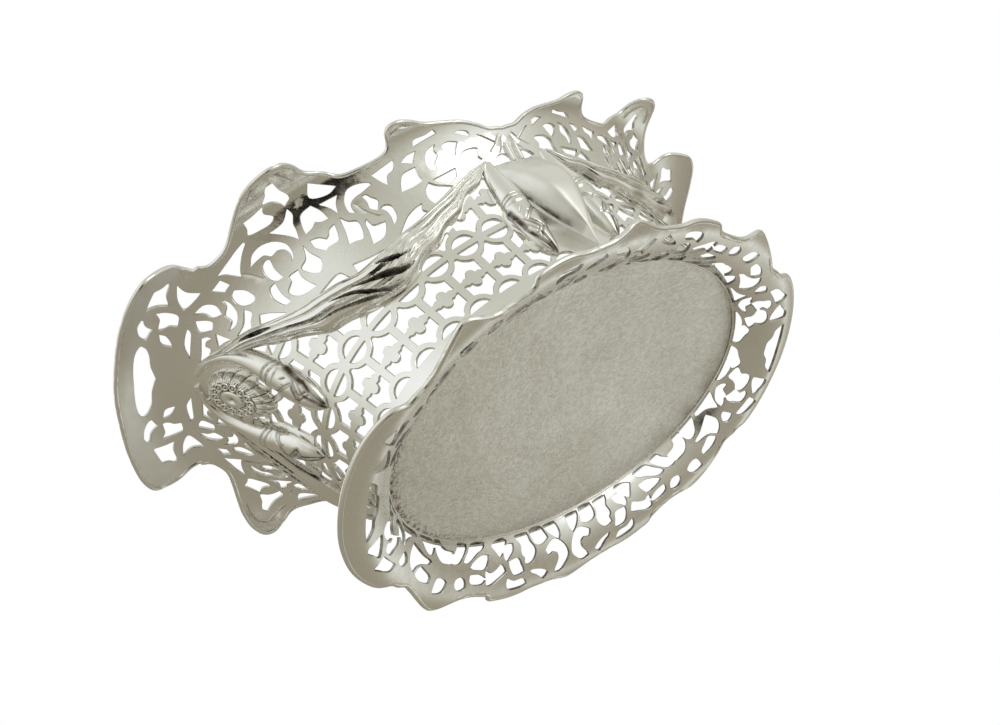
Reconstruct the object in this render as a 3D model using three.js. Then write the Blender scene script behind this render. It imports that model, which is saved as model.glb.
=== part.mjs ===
// An oval pierced basket in silver: a sawn, flared bowl on a sawn skirt foot, hung with cloth swags,
// petalled pateras, smooth pointed bosses and bud drops. Millimetres, +Z up, X along the oval.
import * as THREE from 'three';

// Driving sizes
const sheet = 1.2; // thickness of the wall and the foot
const floorThickness = 1.3;
const floorLift = 11.5; // underside of the floor above the table
const seatGap = 0.3; // left between two pieces that are soldered together
const floorPlay = 0.4; // left between the floor's edge and the wall
const bowlHalfLength = 76; // where the wall springs from the floor
const bowlHalfWidth = 53;
const wallRiseMean = 67.2; // the wall stands higher at the ends than at the sides
const wallRiseSwing = 8.8;
const flareMean = 35.3; // how far the rim reaches out beyond the floor
const flareSwing = 4.7;
const flareCorner = 2.2;
const flarePower = 1.29; // above 1 the wall starts steep and opens later
const rimRoll = 1.114; // how far the wall has turned level by the rim
const circlesPerQuarter = 9.5; // lattice circles from an end to the middle of a side
const halfRound = 2 * circlesPerQuarter;
const latticeHeight = 38.1; // height of the middle row of circles
const rowPitch = 21.9; // from one row of circles to the next
const latticeBar = 2.1; // bar across a circle
const linkWidth = 2.5; // upright between two rows
const circleSquash = 0.94; // height of a circle against its width
const ringWidth = 1.5; // metal round a circle
const footHalfLength = 76; // where the foot meets the bowl
const footHalfWidth = 50.3;
const footReach = 18.2; // how far the foot spreads beyond its top
const footPower = 1.35;
const footRoll = 0.7;
const footFlatFrom = 0.83; // from here out the foot lies flat on the table
const borderWidth = 2.2; // half-round wire along an edge
const borderHeight = 1.3;
const borderInset = 1.4; // middle of the wire, in from the edge
const facetTolerance = 0.5; // how far a flat facet may leave the curved sheet
const halfTurnDegrees = 180;
const quarterSteps = 180; // half degrees in a quarter of the oval
const seamSteps = 38; // straight steps round half of the seam between bowl and foot
const appliedSeat = sheet / 2 + seatGap + facetTolerance; // back of a piece laid on a sheet, off its middle

const silver = { color: 0xc9c5bb, metalness: 1, roughness: 0.28 };
const brushed = { color: 0xb9b4a8, metalness: 1, roughness: 0.42 };

const unevenTurn = 0.37; // radians, a turn that leaves no edge level
const radians = (degrees) => degrees * Math.PI / halfTurnDegrees;
const point = (u, s) => new THREE.Vector2(u, s);
const outlineOf = (pairs) => pairs.map(([u, s]) => point(u, s));

// A point on an oval, pushed out square to it
function ovalPoint(halfLength, halfWidth, angle, reach) {
  const along = Math.cos(angle);
  const across = Math.sin(angle);
  const square = new THREE.Vector2(along / halfLength, across / halfWidth).normalize();
  return new THREE.Vector2(halfLength * along + reach * square.x, halfWidth * across + reach * square.y);
}

// The flared wall: angle round the oval, s from 0 at the floor to about 1 at the rim
const wallRise = (angle) => wallRiseMean + wallRiseSwing * Math.cos(2 * angle);
const wallBase = floorLift + seatGap;

function wallMiddle(angle, s) {
  const flare = flareMean + flareSwing * Math.cos(2 * angle) + flareCorner * Math.cos(4 * angle);
  const reach = flare * Math.sign(s) * Math.pow(Math.abs(s), flarePower);
  const plan = ovalPoint(bowlHalfLength, bowlHalfWidth, angle, reach);
  return new THREE.Vector3(plan.x, plan.y, wallBase + wallRise(angle) * s * (1 + rimRoll * (1 - s)));
}

// The s at which the wall reaches a height
function wallLevel(angle, height) {
  const share = (height - wallBase) / wallRise(angle);
  const slope = 1 + rimRoll;
  return (slope - Math.sqrt(slope * slope - 4 * rimRoll * share)) / (2 * rimRoll);
}

// The skirt foot: s from 0 at the bowl to about 1 at its edge
const footTop = floorLift - seatGap;

function footMiddle(angle, s) {
  const plan = ovalPoint(footHalfLength, footHalfWidth, angle, footReach * Math.pow(Math.max(s, 0), footPower));
  const turn = (x) => x * (1 + footRoll * (1 - x));
  const drop = Math.min(1, turn(Math.min(s, footFlatFrom)) / turn(footFlatFrom));
  return new THREE.Vector3(plan.x, plan.y, footTop - (footTop - sheet / 2) * drop);
}

// Lattice positions round the wall are counted in circles, 0 in the middle of an end
const quarterAngles = Array.from({ length: quarterSteps + 1 }, (_, i) => radians(90 * i / quarterSteps));
const quarterPoints = quarterAngles.map((angle) => wallMiddle(angle, wallLevel(angle, latticeHeight)));
const quarterRun = [0];
for (let i = 1; i < quarterPoints.length; i += 1) {
  quarterRun.push(quarterRun[i - 1] + quarterPoints[i].distanceTo(quarterPoints[i - 1]));
}
const circlePitch = quarterRun.at(-1) / circlesPerQuarter;

function quarterAngle(count) {
  const run = count * circlePitch;
  const i = Math.max(1, quarterRun.findIndex((length) => length >= run - 1e-9));
  const share = (run - quarterRun[i - 1]) / (quarterRun[i] - quarterRun[i - 1]);
  return THREE.MathUtils.lerp(quarterAngles[i - 1], quarterAngles[i], share);
}

function circleAngle(u) {
  const turns = Math.floor(u / halfRound + 0.5);
  const rest = u - turns * halfRound;
  return turns * Math.PI + Math.sign(rest) * quarterAngle(Math.min(Math.abs(rest), circlesPerQuarter));
}

// A curved sheet as a place: where (u, s) lies, lifted off its middle by so many millimetres
function makePlace(middle, down) {
  const step = 1e-3;
  const frame = (u, s) => {
    const origin = middle(u, s);
    const acrossU = middle(u + step, s).sub(middle(u - step, s)).divideScalar(2 * step);
    const acrossS = middle(u, s + step).sub(middle(u, s - step)).divideScalar(2 * step);
    const normal = acrossU.clone().cross(acrossS).normalize().multiplyScalar(down ? -1 : 1);
    return { origin, acrossU, acrossS, normal };
  };
  const at = (u, s, lift) => {
    const { origin, normal } = frame(u, s);
    return origin.addScaledVector(normal, lift);
  };
  const shift = (u, s, right, up) => {
    const { acrossU, acrossS } = frame(u, s);
    return point(u + right / acrossU.length(), s + up / acrossS.length());
  };
  return { at, shift, down };
}

const wallPlace = makePlace((u, s) => wallMiddle(circleAngle(u), s), false);
const footPlace = makePlace((degrees, s) => footMiddle(radians(degrees), s), true);

// Flat triangles between an outline and its holes; cut on a turned copy, where no two corners lie level
function triangulate(outline, holes) {
  const contour = THREE.ShapeUtils.isClockWise(outline) ? outline.slice().reverse() : outline;
  const cuts = holes.map((hole) => (THREE.ShapeUtils.isClockWise(hole) ? hole : hole.slice().reverse()));
  const turned = (loop) => loop.map((v) => v.clone().rotateAround(point(0, 0), unevenTurn));
  const triangles = THREE.ShapeUtils.triangulateShape(turned(contour), cuts.map(turned));
  return { vertices: [...contour, ...cuts.flat()].map((v) => v.clone()), triangles };
}

const edgeKey = (a, b) => (a < b ? `${a} ${b}` : `${b} ${a}`);

function edgeMap(triangles) {
  const edges = new Map();
  triangles.forEach((triangle, index) => {
    for (let i = 0; i < 3; i += 1) {
      const key = edgeKey(triangle[i], triangle[(i + 1) % 3]);
      edges.set(key, [...(edges.get(key) ?? []), index]);
    }
  });
  return edges;
}

// Swaps the diagonal of two neighbours where that opens their angles
function relax(mesh, stretch) {
  const flat = mesh.vertices.map((v) => point(v.x * stretch.x, v.y * stretch.y));
  const area = (a, b, c) => flat[b].clone().sub(flat[a]).cross(flat[c].clone().sub(flat[a]));
  const angleAt = (a, b, c) => {
    const one = flat[b].clone().sub(flat[a]);
    const two = flat[c].clone().sub(flat[a]);
    return Math.abs(Math.atan2(one.cross(two), one.dot(two)));
  };
  for (let pass = 0; pass < 80; pass += 1) {
    const edges = edgeMap(mesh.triangles);
    const touched = new Set();
    let swapped = 0;
    for (const [key, pair] of edges) {
      if (pair.length !== 2 || touched.has(pair[0]) || touched.has(pair[1])) continue;
      const [a, b] = key.split(' ').map(Number);
      const c = mesh.triangles[pair[0]].find((v) => v !== a && v !== b);
      const d = mesh.triangles[pair[1]].find((v) => v !== a && v !== b);
      if (angleAt(c, a, b) + angleAt(d, a, b) < Math.PI + 1e-6) continue;
      const first = area(c, d, a) > 0 ? [c, d, a] : [d, c, a];
      const second = area(c, d, b) > 0 ? [c, d, b] : [d, c, b];
      if (area(c, d, a) * area(c, d, b) >= -1e-9) continue;
      [mesh.triangles[pair[0]], mesh.triangles[pair[1]]] = [first, second];
      touched.add(pair[0]).add(pair[1]);
      swapped += 1;
    }
    if (swapped === 0) break;
  }
}

// Splits every edge that cuts too deep across the curved sheet
function refine(mesh, place, stretch) {
  for (let pass = 0; pass < 8; pass += 1) {
    relax(mesh, stretch);
    const middles = new Map();
    for (const key of edgeMap(mesh.triangles).keys()) {
      const [a, b] = key.split(' ').map(Number);
      const [one, two] = [mesh.vertices[a], mesh.vertices[b]];
      const middle = one.clone().add(two).multiplyScalar(0.5);
      const chord = place.at(one.x, one.y, 0).add(place.at(two.x, two.y, 0)).multiplyScalar(0.5);
      if (chord.distanceTo(place.at(middle.x, middle.y, 0)) > facetTolerance) {
        middles.set(key, mesh.vertices.push(middle) - 1);
      }
    }
    if (middles.size === 0) break;
    mesh.triangles = mesh.triangles.flatMap((triangle) => splitTriangle(triangle, middles));
  }
}

function splitTriangle(triangle, middles) {
  const cut = triangle.map((v, i) => middles.get(edgeKey(v, triangle[(i + 1) % 3])));
  const count = cut.filter((m) => m !== undefined).length;
  if (count === 0) return [triangle];
  if (count === 3) {
    const [a, b, c] = triangle;
    const [ab, bc, ca] = cut;
    return [[a, ab, ca], [ab, b, bc], [ca, bc, c], [ab, bc, ca]];
  }
  const start = count === 1 ? cut.findIndex((m) => m !== undefined) : (cut.indexOf(undefined) + 1) % 3;
  const [a, b, c] = [0, 1, 2].map((i) => triangle[(start + i) % 3]);
  const [ab, bc] = [0, 1].map((i) => cut[(start + i) % 3]);
  if (count === 1) return [[a, ab, c], [ab, b, c]];
  return [[a, ab, c], [ab, b, bc], [ab, bc, c]];
}

// Half a ring and its twin on the other side, joined at the two seams
function closeRing(mesh, halfTurn) {
  const vertices = [];
  const known = new Map();
  const index = (u, s) => {
    const round = ((u % (2 * halfTurn)) + 2 * halfTurn) % (2 * halfTurn);
    const wrapped = round > 2 * halfTurn - 1e-5 ? 0 : round;
    const key = `${wrapped.toFixed(4)} ${s.toFixed(4)}`;
    if (!known.has(key)) known.set(key, vertices.push(point(u, s)) - 1);
    return known.get(key);
  };
  const copy = (turn) => mesh.triangles.map((t) => t.map((v) => {
    const { x, y } = mesh.vertices[v];
    return index(x + turn, y);
  }));
  return { vertices, triangles: [...copy(0), ...copy(halfTurn)] };
}

// Thickens flat triangles into a closed sheet on its curved place
function thicken(mesh, place, low, high) {
  const inside = mesh.vertices.map((v) => place.at(v.x, v.y, low));
  const outside = mesh.vertices.map((v) => place.at(v.x, v.y, high));
  const count = mesh.vertices.length;
  const faces = [];
  const add = (a, b, c) => faces.push(...(place.down ? [a, c, b] : [a, b, c]));
  for (const [a, b, c] of mesh.triangles) {
    add(a + count, b + count, c + count);
    add(a, c, b);
  }
  const uses = edgeMap(mesh.triangles);
  for (const triangle of mesh.triangles) {
    triangle.forEach((a, i) => {
      const b = triangle[(i + 1) % 3];
      if (uses.get(edgeKey(a, b)).length > 1) return;
      add(a + count, a, b);
      add(a + count, b, b + count);
    });
  }
  return geometryOf([...inside, ...outside], faces);
}

function geometryOf(points, faces) {
  const geometry = new THREE.BufferGeometry();
  geometry.setAttribute('position', new THREE.Float32BufferAttribute(points.flatMap((p) => p.toArray()), 3));
  geometry.setIndex(faces);
  return geometry;
}

// Closed loops of points, one after another, skinned into a solid; open runs get end caps
function skin(loops, closed) {
  const size = loops[0].length;
  const faces = [];
  const last = closed ? loops.length : loops.length - 1;
  for (let i = 0; i < last; i += 1) {
    const next = (i + 1) % loops.length;
    for (let j = 0; j < size; j += 1) {
      const k = (j + 1) % size;
      faces.push(i * size + j, next * size + j, next * size + k);
      faces.push(i * size + j, next * size + k, i * size + k);
    }
  }
  if (!closed) {
    const end = (loops.length - 1) * size;
    for (let j = 1; j < size - 1; j += 1) {
      faces.push(0, j, j + 1);
      faces.push(end, end + j + 1, end + j);
    }
  }
  return geometryOf(loops.flat(), faces);
}

// The rim: its line from the middle of an end to the middle of a side
const rimKeys = outlineOf([
  [0, 1.13], [0.5, 1.135], [1, 1.16], [1.45, 1.19], [1.75, 1.17], [1.93, 1.07], [2.02, 0.93],
  [2.14, 0.875], [2.32, 0.825], [2.65, 0.84], [3, 0.905], [3.35, 1.01], [3.7, 1.12], [4.05, 1.175],
  [4.35, 1.16], [4.58, 1.06], [4.8, 0.94], [5.15, 0.835], [5.65, 0.787], [6.2, 0.79], [6.45, 0.835],
  [6.6, 0.94], [6.82, 0.985], [7.15, 0.955], [7.7, 0.885], [8.35, 0.83], [8.95, 0.755], [9.5, 0.722],
]);

// The foot's edge: degrees round the oval from the middle of an end to the middle of a side
const footKeys = outlineOf([
  [0, 1.13], [9, 1.13], [18, 1.1], [24, 1.01], [28, 0.88], [31, 0.855], [34, 0.81], [39, 0.9],
  [44, 1.01], [47, 1.055], [49.5, 1.01], [52, 0.9], [56, 0.83], [60.5, 0.83], [63.5, 0.91], [66, 0.965],
  [71, 0.985], [75, 0.955], [79, 0.92], [83, 0.925], [87, 1.02], [90, 1.075],
]);

const mirrored = (keys) => [...keys.slice(1).reverse().map(({ x, y }) => point(-x, y)), ...keys];

// Half ring outline: the shaped edge on one side and a plain line at s = 0 on the other
function halfOutline(keys, lowSteps) {
  const edge = mirrored(keys);
  const ends = [edge[0].x, edge.at(-1).x];
  const low = Array.from({ length: lowSteps + 1 }, (_, i) => (
    point(THREE.MathUtils.lerp(ends[0], ends[1], i / lowSteps), 0)));
  return [...low, ...edge.slice().reverse()];
}

// Lattice holes: half circles above and below each bar, and two openings round each small cross
function circleHoles(u, height, above, below) {
  const angle = circleAngle(u);
  const radius = circlePitch / 2 - ringWidth;
  const half = latticeBar / 2;
  const foot = Math.sqrt(radius * radius - half * half);
  const lean = wallPlace.shift(u, wallLevel(angle, height), circlePitch, 0).x - u;
  const place = (x, y) => {
    const nearby = u + (x / circlePitch) * lean;
    return point(nearby, wallLevel(circleAngle(nearby), height + y * circleSquash));
  };
  const arc = [50, 90, 130].map((a) => [radius * Math.cos(radians(a)), radius * Math.sin(radians(a))]);
  const top = [[-foot, half], [foot, half], ...arc].map(([x, y]) => place(x, y));
  const bottom = [[foot, -half], [-foot, -half], ...arc.map(([x, y]) => [-x, -y])].map(([x, y]) => place(x, y));
  return [...(above ? [top] : []), ...(below ? [bottom] : [])];
}

function crossHoles(u, height) {
  const side = circlePitch / 2 - linkWidth / 2;
  const radius = circlePitch / 2;
  const arcAt = (x) => rowPitch / 2 - Math.sqrt(radius * radius - (radius - Math.abs(x)) ** 2);
  const lobe = 3;
  const arm = 0.85;
  const cusp = rowPitch / 2 - 2.4;
  const place = (x, y) => {
    const nearby = u + x / circlePitch;
    return point(nearby, wallLevel(circleAngle(nearby), height + y));
  };
  const upper = [[-side, arm], [0, lobe], [side, arm], [side, arcAt(side)], [0, cusp], [-side, arcAt(side)]];
  return [upper, upper.map(([x, y]) => [-x, -y])].map((hole) => hole.map(([x, y]) => place(x, y)));
}

function latticeHoles() {
  const lower = latticeHeight - rowPitch;
  const holes = [];
  for (let i = 0; i < circlesPerQuarter - 1; i += 1) {
    const underHusk = i === 8;
    const clearOfSwag = i !== 0 && (i < 2 || i > 5);
    holes.push(...circleHoles(i + 0.5, lower, true, false));
    if (!underHusk) holes.push(...circleHoles(i + 0.5, latticeHeight, clearOfSwag, true));
    if (i > 0) holes.push(...crossHoles(i, (lower + latticeHeight) / 2));
    if (i === 7) holes.push(...crossHoles(i, latticeHeight + rowPitch / 2));
  }
  return holes;
}

// Scrollwork openings of one quarter, sawn above the swags
const scrollHoles = [
  // end panel, beside the plain vase shape
  [[0.73, 0.957], [0.85, 0.933], [0.96, 0.99], [1.06, 1.03], [0.95, 1.05], [0.8, 1.01]],
  [[1.24, 1.03], [1.32, 0.905], [1.5, 0.945], [1.69, 0.98], [1.55, 1.045]],
  [[0.9, 0.905], [0.99, 0.805], [1.16, 0.815], [1.2, 0.89], [1.16, 0.955], [1.05, 0.915]],
  [[1.32, 0.8], [1.69, 0.775], [1.62, 0.85], [1.69, 0.92], [1.43, 0.86]],
  [[0.99, 0.69], [1.1, 0.64], [1.25, 0.65], [1.17, 0.73]],
  [[1.3, 0.745], [1.37, 0.66], [1.5, 0.632], [1.58, 0.675], [1.47, 0.73]],
  [[1.24, 0.573], [1.6, 0.575], [1.75, 0.62], [1.74, 0.665], [1.52, 0.617]],
  [[1.83, 0.58], [2.05, 0.55], [2.14, 0.6], [2, 0.645], [1.9, 0.635]],
  [[0.6, 0.8], [0.67, 0.81], [0.8, 0.89], [0.64, 0.863]],
  [[0.43, 0.702], [0.93, 0.73], [0.97, 0.75], [0.64, 0.741]],
  [[0.27, 0.651], [0.7, 0.617], [0.93, 0.625], [0.87, 0.672]],
  [[0.83, 0.59], [0.96, 0.573], [1.07, 0.552], [1.06, 0.619]],
  [[1.21, 0.535], [1.51, 0.502], [1.8, 0.53], [1.77, 0.561]],
  [[1.82, 0.728], [1.9, 0.676], [2.08, 0.68], [2.06, 0.729]],
  [[1.67, 0.476], [2.02, 0.43], [2.22, 0.426], [1.95, 0.48], [1.84, 0.5]],
  // corner panel, round the cross in its oval frame
  [[2.13, 0.75], [2.34, 0.66], [2.7, 0.73], [2.93, 0.78], [2.5, 0.765]],
  [[2.6, 0.66], [2.95, 0.655], [3.3, 0.6], [3.24, 0.55], [3.42, 0.6], [3.38, 0.66], [3.04, 0.703]],
  [[2.63, 0.465], [2.75, 0.425], [3.15, 0.412], [3.1, 0.46], [3.16, 0.505], [2.9, 0.5]],
  [[3.24, 0.5], [3.32, 0.455], [3.6, 0.45], [3.67, 0.48], [3.64, 0.572], [3.44, 0.518]],
  [[3.4, 0.725], [3.69, 0.61], [3.8, 0.655], [3.97, 0.73], [3.97, 0.78], [3.7, 0.73]],
  [[3.1, 0.79], [3.2, 0.88], [3.65, 0.89], [3.59, 0.845], [3.67, 0.79], [3.5, 0.77]],
  [[3.7, 0.9], [3.83, 0.885], [3.98, 0.81], [4.16, 0.845], [4.09, 1.025], [3.93, 1.01]],
  [[3.87, 0.61], [4.11, 0.71], [4.38, 0.72], [4.47, 0.62], [4.17, 0.635]],
  [[3.83, 0.57], [4.12, 0.537], [4.46, 0.572], [4.27, 0.5], [3.9, 0.495]],
  [[4.67, 0.583], [4.9, 0.53], [4.85, 0.48], [4.6, 0.455], [4.4, 0.46], [4.55, 0.52]],
  [[4.64, 0.86], [4.48, 0.77], [4.65, 0.737], [4.87, 0.73], [5.06, 0.75]],
  [[4.93, 0.58], [5, 0.56], [5.07, 0.62], [5.4, 0.645], [5.72, 0.66], [5.45, 0.7], [5.1, 0.675]],
  [[5.34, 0.545], [5.38, 0.62], [5.48, 0.623], [5.62, 0.57], [5.46, 0.525]],
  [[4.82, 0.407], [5.03, 0.5], [5.13, 0.475], [5.41, 0.463], [5.1, 0.408]],
  [[2.63, 0.56], [2.7, 0.53], [2.83, 0.527], [2.93, 0.625], [2.75, 0.62]],
  [[2.33, 0.5], [2.34, 0.45], [2.5, 0.44], [2.61, 0.533], [2.47, 0.533]],
  [[4.53, 0.7], [4.64, 0.66], [4.71, 0.61], [4.96, 0.696]],
  [[5.61, 0.5], [5.53, 0.434], [5.67, 0.448], [5.77, 0.517], [5.64, 0.532]],
  [[5.42, 0.38], [6.07, 0.39], [6.45, 0.405], [6.24, 0.455], [5.67, 0.409]],
  // side panel, beside the straps
  [[5.85, 0.705], [6.04, 0.613], [6.18, 0.667], [6.36, 0.682], [6.46, 0.735], [6.1, 0.716]],
  [[6.22, 0.55], [6.81, 0.557], [6.84, 0.642], [6.5, 0.635], [6.33, 0.595]],
  [[6.64, 0.466], [7, 0.455], [7.38, 0.485], [7.04, 0.515], [6.9, 0.537], [6.73, 0.51]],
  [[7.11, 0.627], [7.13, 0.597], [7.29, 0.574], [7.33, 0.62], [7.48, 0.66], [7.55, 0.728], [7.2, 0.69]],
  [[7.05, 0.54], [7.33, 0.505], [7.62, 0.515], [7.72, 0.556], [7.4, 0.549]],
  [[7.71, 0.66], [7.91, 0.62], [8.12, 0.697], [7.89, 0.718], [7.7, 0.706]],
  [[7.95, 0.535], [8.27, 0.545], [8.55, 0.565], [8.57, 0.625], [8.2, 0.633], [8, 0.604]],
  [[8.85, 0.525], [9.02, 0.516], [9.36, 0.51], [9.38, 0.528], [9.22, 0.556], [9.02, 0.553]],
  [[6.61, 0.698], [6.84, 0.669], [7.03, 0.732], [6.78, 0.725]],
  [[7.05, 0.766], [7.42, 0.784], [7.69, 0.797], [7.64, 0.83], [7.1, 0.807]],
  [[8.14, 0.761], [8.33, 0.729], [8.5, 0.708], [8.48, 0.744], [8.27, 0.767]],
  [[8.69, 0.709], [8.98, 0.652], [9.13, 0.627], [9.02, 0.66], [8.84, 0.69]],
].map(outlineOf);

// The long slot over the vase shape in the middle of an end, and the crosses below it
const endSlot = outlineOf([
  [-0.62, 0.985], [-0.4, 0.905], [0, 0.88], [0.4, 0.905], [0.62, 0.985], [0.5, 1.015], [-0.5, 1.015],
]);

// Openings of one quarter of the foot, in degrees
const footScrolls = [
  [[1.2, 0.06], [1.8, 0.1], [4.7, 0.17], [7.6, 0.24], [10, 0.17], [8.3, 0.12], [6.6, 0.05]],
  [[9.6, 0.26], [14, 0.21], [14.7, 0.32], [17.4, 0.41], [16.4, 0.48], [13.5, 0.52], [10.9, 0.45]],
  [[17, 0.2], [20.3, 0.12], [23, 0.15], [24.7, 0.32], [22.2, 0.27], [20, 0.19]],
  [[17.9, 0.4], [21.3, 0.33], [21.8, 0.4], [20.3, 0.58], [17, 0.58]],
  [[11.5, 0.61], [13.5, 0.64], [16.4, 0.75], [12.5, 0.83], [11.5, 0.83]],
  [[23.3, 0.05], [32, 0.07], [29.1, 0.12], [26.2, 0.27], [25.2, 0.15]],
  [[31.1, 0.23], [36.9, 0.35], [39.9, 0.38], [34, 0.48], [32.5, 0.57], [30.1, 0.4]],
  [[42.3, 0.065], [44.8, 0.055], [46.7, 0.18], [49, 0.21], [48.7, 0.32], [45, 0.32]],
  [[52.5, 0.08], [55.5, 0.085], [53.5, 0.22], [51.6, 0.32], [49.9, 0.3]],
  [[58, 0.08], [62.3, 0.07], [59.4, 0.17], [56, 0.3], [54.5, 0.29]],
  [[65.3, 0.13], [69.6, 0.06], [68.7, 0.2], [67.2, 0.3]],
  [[70.1, 0.43], [73, 0.42], [74.2, 0.6], [71.5, 0.6]],
  [[74, 0.08], [78, 0.065], [78.9, 0.33], [77, 0.49], [75.6, 0.42], [75.3, 0.2]],
  [[79.4, 0.055], [82.8, 0.065], [83.8, 0.23], [80, 0.24]],
  [[84.5, 0.07], [88.4, 0.055], [88, 0.28], [86.4, 0.2]],
  [[82.9, 0.42], [86.3, 0.34], [88.4, 0.5], [88.2, 0.66], [85.6, 0.78], [86.6, 0.6], [84.8, 0.46]],
  [[62, 0.5], [63.3, 0.55], [67.2, 0.44], [68.2, 0.53], [63.9, 0.66], [62.3, 0.67]],
  [[43.8, 0.61], [47.2, 0.63], [46.2, 0.73], [43.3, 0.76]],
].map(outlineOf);

const footSlot = outlineOf([
  [0, 0.61], [3.5, 0.68], [6.5, 0.72], [8, 0.84], [-8, 0.84], [-6.5, 0.72], [-3.5, 0.68],
]);

const bothSides = (holes) => holes.flatMap((hole) => [hole, hole.map(({ x, y }) => point(-x, y))]);

function piercedSheet(place, outline, holes, halfTurn, stretch) {
  const mesh = triangulate(outline, holes);
  refine(mesh, place, stretch);
  return thicken(closeRing(mesh, halfTurn), place, -sheet / 2, sheet / 2);
}

function piercedWall() {
  const endCells = [crossHoles(0, latticeHeight - rowPitch / 2), crossHoles(0, latticeHeight + rowPitch / 2)];
  const holes = [...bothSides([...latticeHoles(), ...scrollHoles]), endSlot, ...endCells[0], endCells[1][1]];
  const stretch = point(circlePitch, wallRiseMean);
  return piercedSheet(wallPlace, halfOutline(rimKeys, seamSteps), holes, halfRound, stretch);
}

function piercedFoot() {
  const holes = [...bothSides(footScrolls), footSlot];
  const stretch = point(radians(footHalfLength), Math.hypot(footReach, footTop));
  return piercedSheet(footPlace, halfOutline(footKeys, seamSteps), holes, halfTurnDegrees, stretch);
}

// A half-round wire that follows a shaped edge on the outer face of its sheet
function edgeWire(place, keys, halfTurn) {
  const half = mirrored(keys).slice(0, -1);
  const ring = [...half, ...half.map(({ x, y }) => point(x + halfTurn, y))];
  const section = [[-0.5, 0], [0.5, 0], [0.25, 1], [-0.25, 1]];
  const loops = ring.map((here, i) => {
    const before = ring.at(i - 1).clone();
    const after = ring[(i + 1) % ring.length].clone();
    if (i === 0) before.x -= 2 * halfTurn;
    if (i === ring.length - 1) after.x += 2 * halfTurn;
    const run = place.at(after.x, after.y, 0).sub(place.at(before.x, before.y, 0));
    const right = place.at(here.x + 1e-3, here.y, 0).sub(place.at(here.x - 1e-3, here.y, 0)).normalize();
    const up = place.at(here.x, here.y + 1e-3, 0).sub(place.at(here.x, here.y - 1e-3, 0)).normalize();
    const square = point(run.dot(up), -run.dot(right)).normalize();
    return section.map(([across, high]) => {
      const move = across * borderWidth + borderInset;
      const spot = place.shift(here.x, here.y, square.x * move, square.y * move);
      return place.at(spot.x, spot.y, appliedSeat + high * borderHeight);
    });
  });
  if (place.down) loops.forEach((loop) => loop.reverse());
  return skin(loops, true);
}

function bowlFloor() {
  const inset = sheet / 2 + floorPlay;
  const shape = new THREE.Shape();
  shape.absellipse(0, 0, bowlHalfLength - inset, bowlHalfWidth - inset, 0, 2 * Math.PI);
  const depth = floorThickness;
  const plate = new THREE.ExtrudeGeometry(shape, { depth, bevelEnabled: false, curveSegments: 36 });
  plate.deleteAttribute('normal');
  plate.deleteAttribute('uv');
  return plate.translate(0, 0, floorLift);
}

// A relief that runs along the wall: stations of position, half width and height, domed across
function reliefAlong(stations, profile) {
  const loops = stations.map(({ u, s, half, high }, i) => {
    const before = stations[Math.max(i - 1, 0)];
    const after = stations[Math.min(i + 1, stations.length - 1)];
    const run = wallPlace.at(after.u, after.s, 0).sub(wallPlace.at(before.u, before.s, 0));
    const right = wallPlace.at(u + 1e-3, s, 0).sub(wallPlace.at(u - 1e-3, s, 0)).normalize();
    const up = wallPlace.at(u, s + 1e-3, 0).sub(wallPlace.at(u, s - 1e-3, 0)).normalize();
    const square = point(-run.dot(up), run.dot(right)).normalize();
    return profile.map(([across, share]) => {
      const move = across * half;
      const spot = wallPlace.shift(u, s, square.x * move, square.y * move);
      return wallPlace.at(spot.x, spot.y, appliedSeat + share * high);
    });
  });
  return skin(loops, false);
}

const domeProfile = [[-1, 0.25], [-0.55, 0.85], [0, 1], [0.55, 0.85], [1, 0.25], [1, 0], [0, 0], [-1, 0]];
const foldProfile = [[-1, 0.35], [-0.55, 0.6], [-0.15, 1], [0.25, 0.7], [0.6, 1], [1, 0.3], [1, 0], [0, 0],
  [-1, 0]];
const strapProfile = [[-1, 1], [1, 1], [1, 0], [-1, 0]];

// Swag: the middle line of the hanging cloth, from the end motif to the side motif
const swagKeys = [
  { u: 0.32, s: 0.63, half: 1.3, high: 1.2 }, { u: 0.8, s: 0.59, half: 2, high: 1.8 },
  { u: 1.22, s: 0.525, half: 2.8, high: 2.4 }, { u: 1.7, s: 0.435, half: 4, high: 3.2 },
  { u: 2.4, s: 0.348, half: 5.4, high: 3.8 }, { u: 3.2, s: 0.3, half: 6.2, high: 4.4 },
  { u: 4.1, s: 0.28, half: 6.6, high: 4.8 }, { u: 5, s: 0.292, half: 6.4, high: 4.8 },
  { u: 5.9, s: 0.327, half: 5.6, high: 4.4 }, { u: 6.7, s: 0.374, half: 4.6, high: 3.8 },
  { u: 7.4, s: 0.43, half: 3.4, high: 3 }, { u: 7.95, s: 0.478, half: 2.4, high: 2 },
  { u: 8.35, s: 0.515, half: 1.3, high: 1.2 },
];

// Bud drop: how far along, how wide and how high
const huskShape = [[0, 0.35, 0.5], [0.2, 0.6, 0.8], [0.45, 0.9, 1], [0.68, 1, 1], [0.86, 0.7, 0.85],
  [1, 0.12, 0.4]];
const bossShape = [[0, 0.5, 0.15], [0.08, 0.8, 0.55], [0.24, 0.98, 0.93], [0.4, 0.9, 1], [0.64, 0.56, 0.95],
  [0.85, 0.28, 0.72], [1, 0.06, 0.4]];

const endHusk = { top: [0.8, 0.53], tip: [0.82, 0.215], half: 3.9, high: 4.4 };
const sideHusk = { top: [8.43, 0.47], tip: [8.36, 0.085], half: 3.9, high: 4.4 };
const sideBoss = { top: [9.5, 0.5], tip: [9.5, 0.07], half: 9.8, high: 11 };

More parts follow.
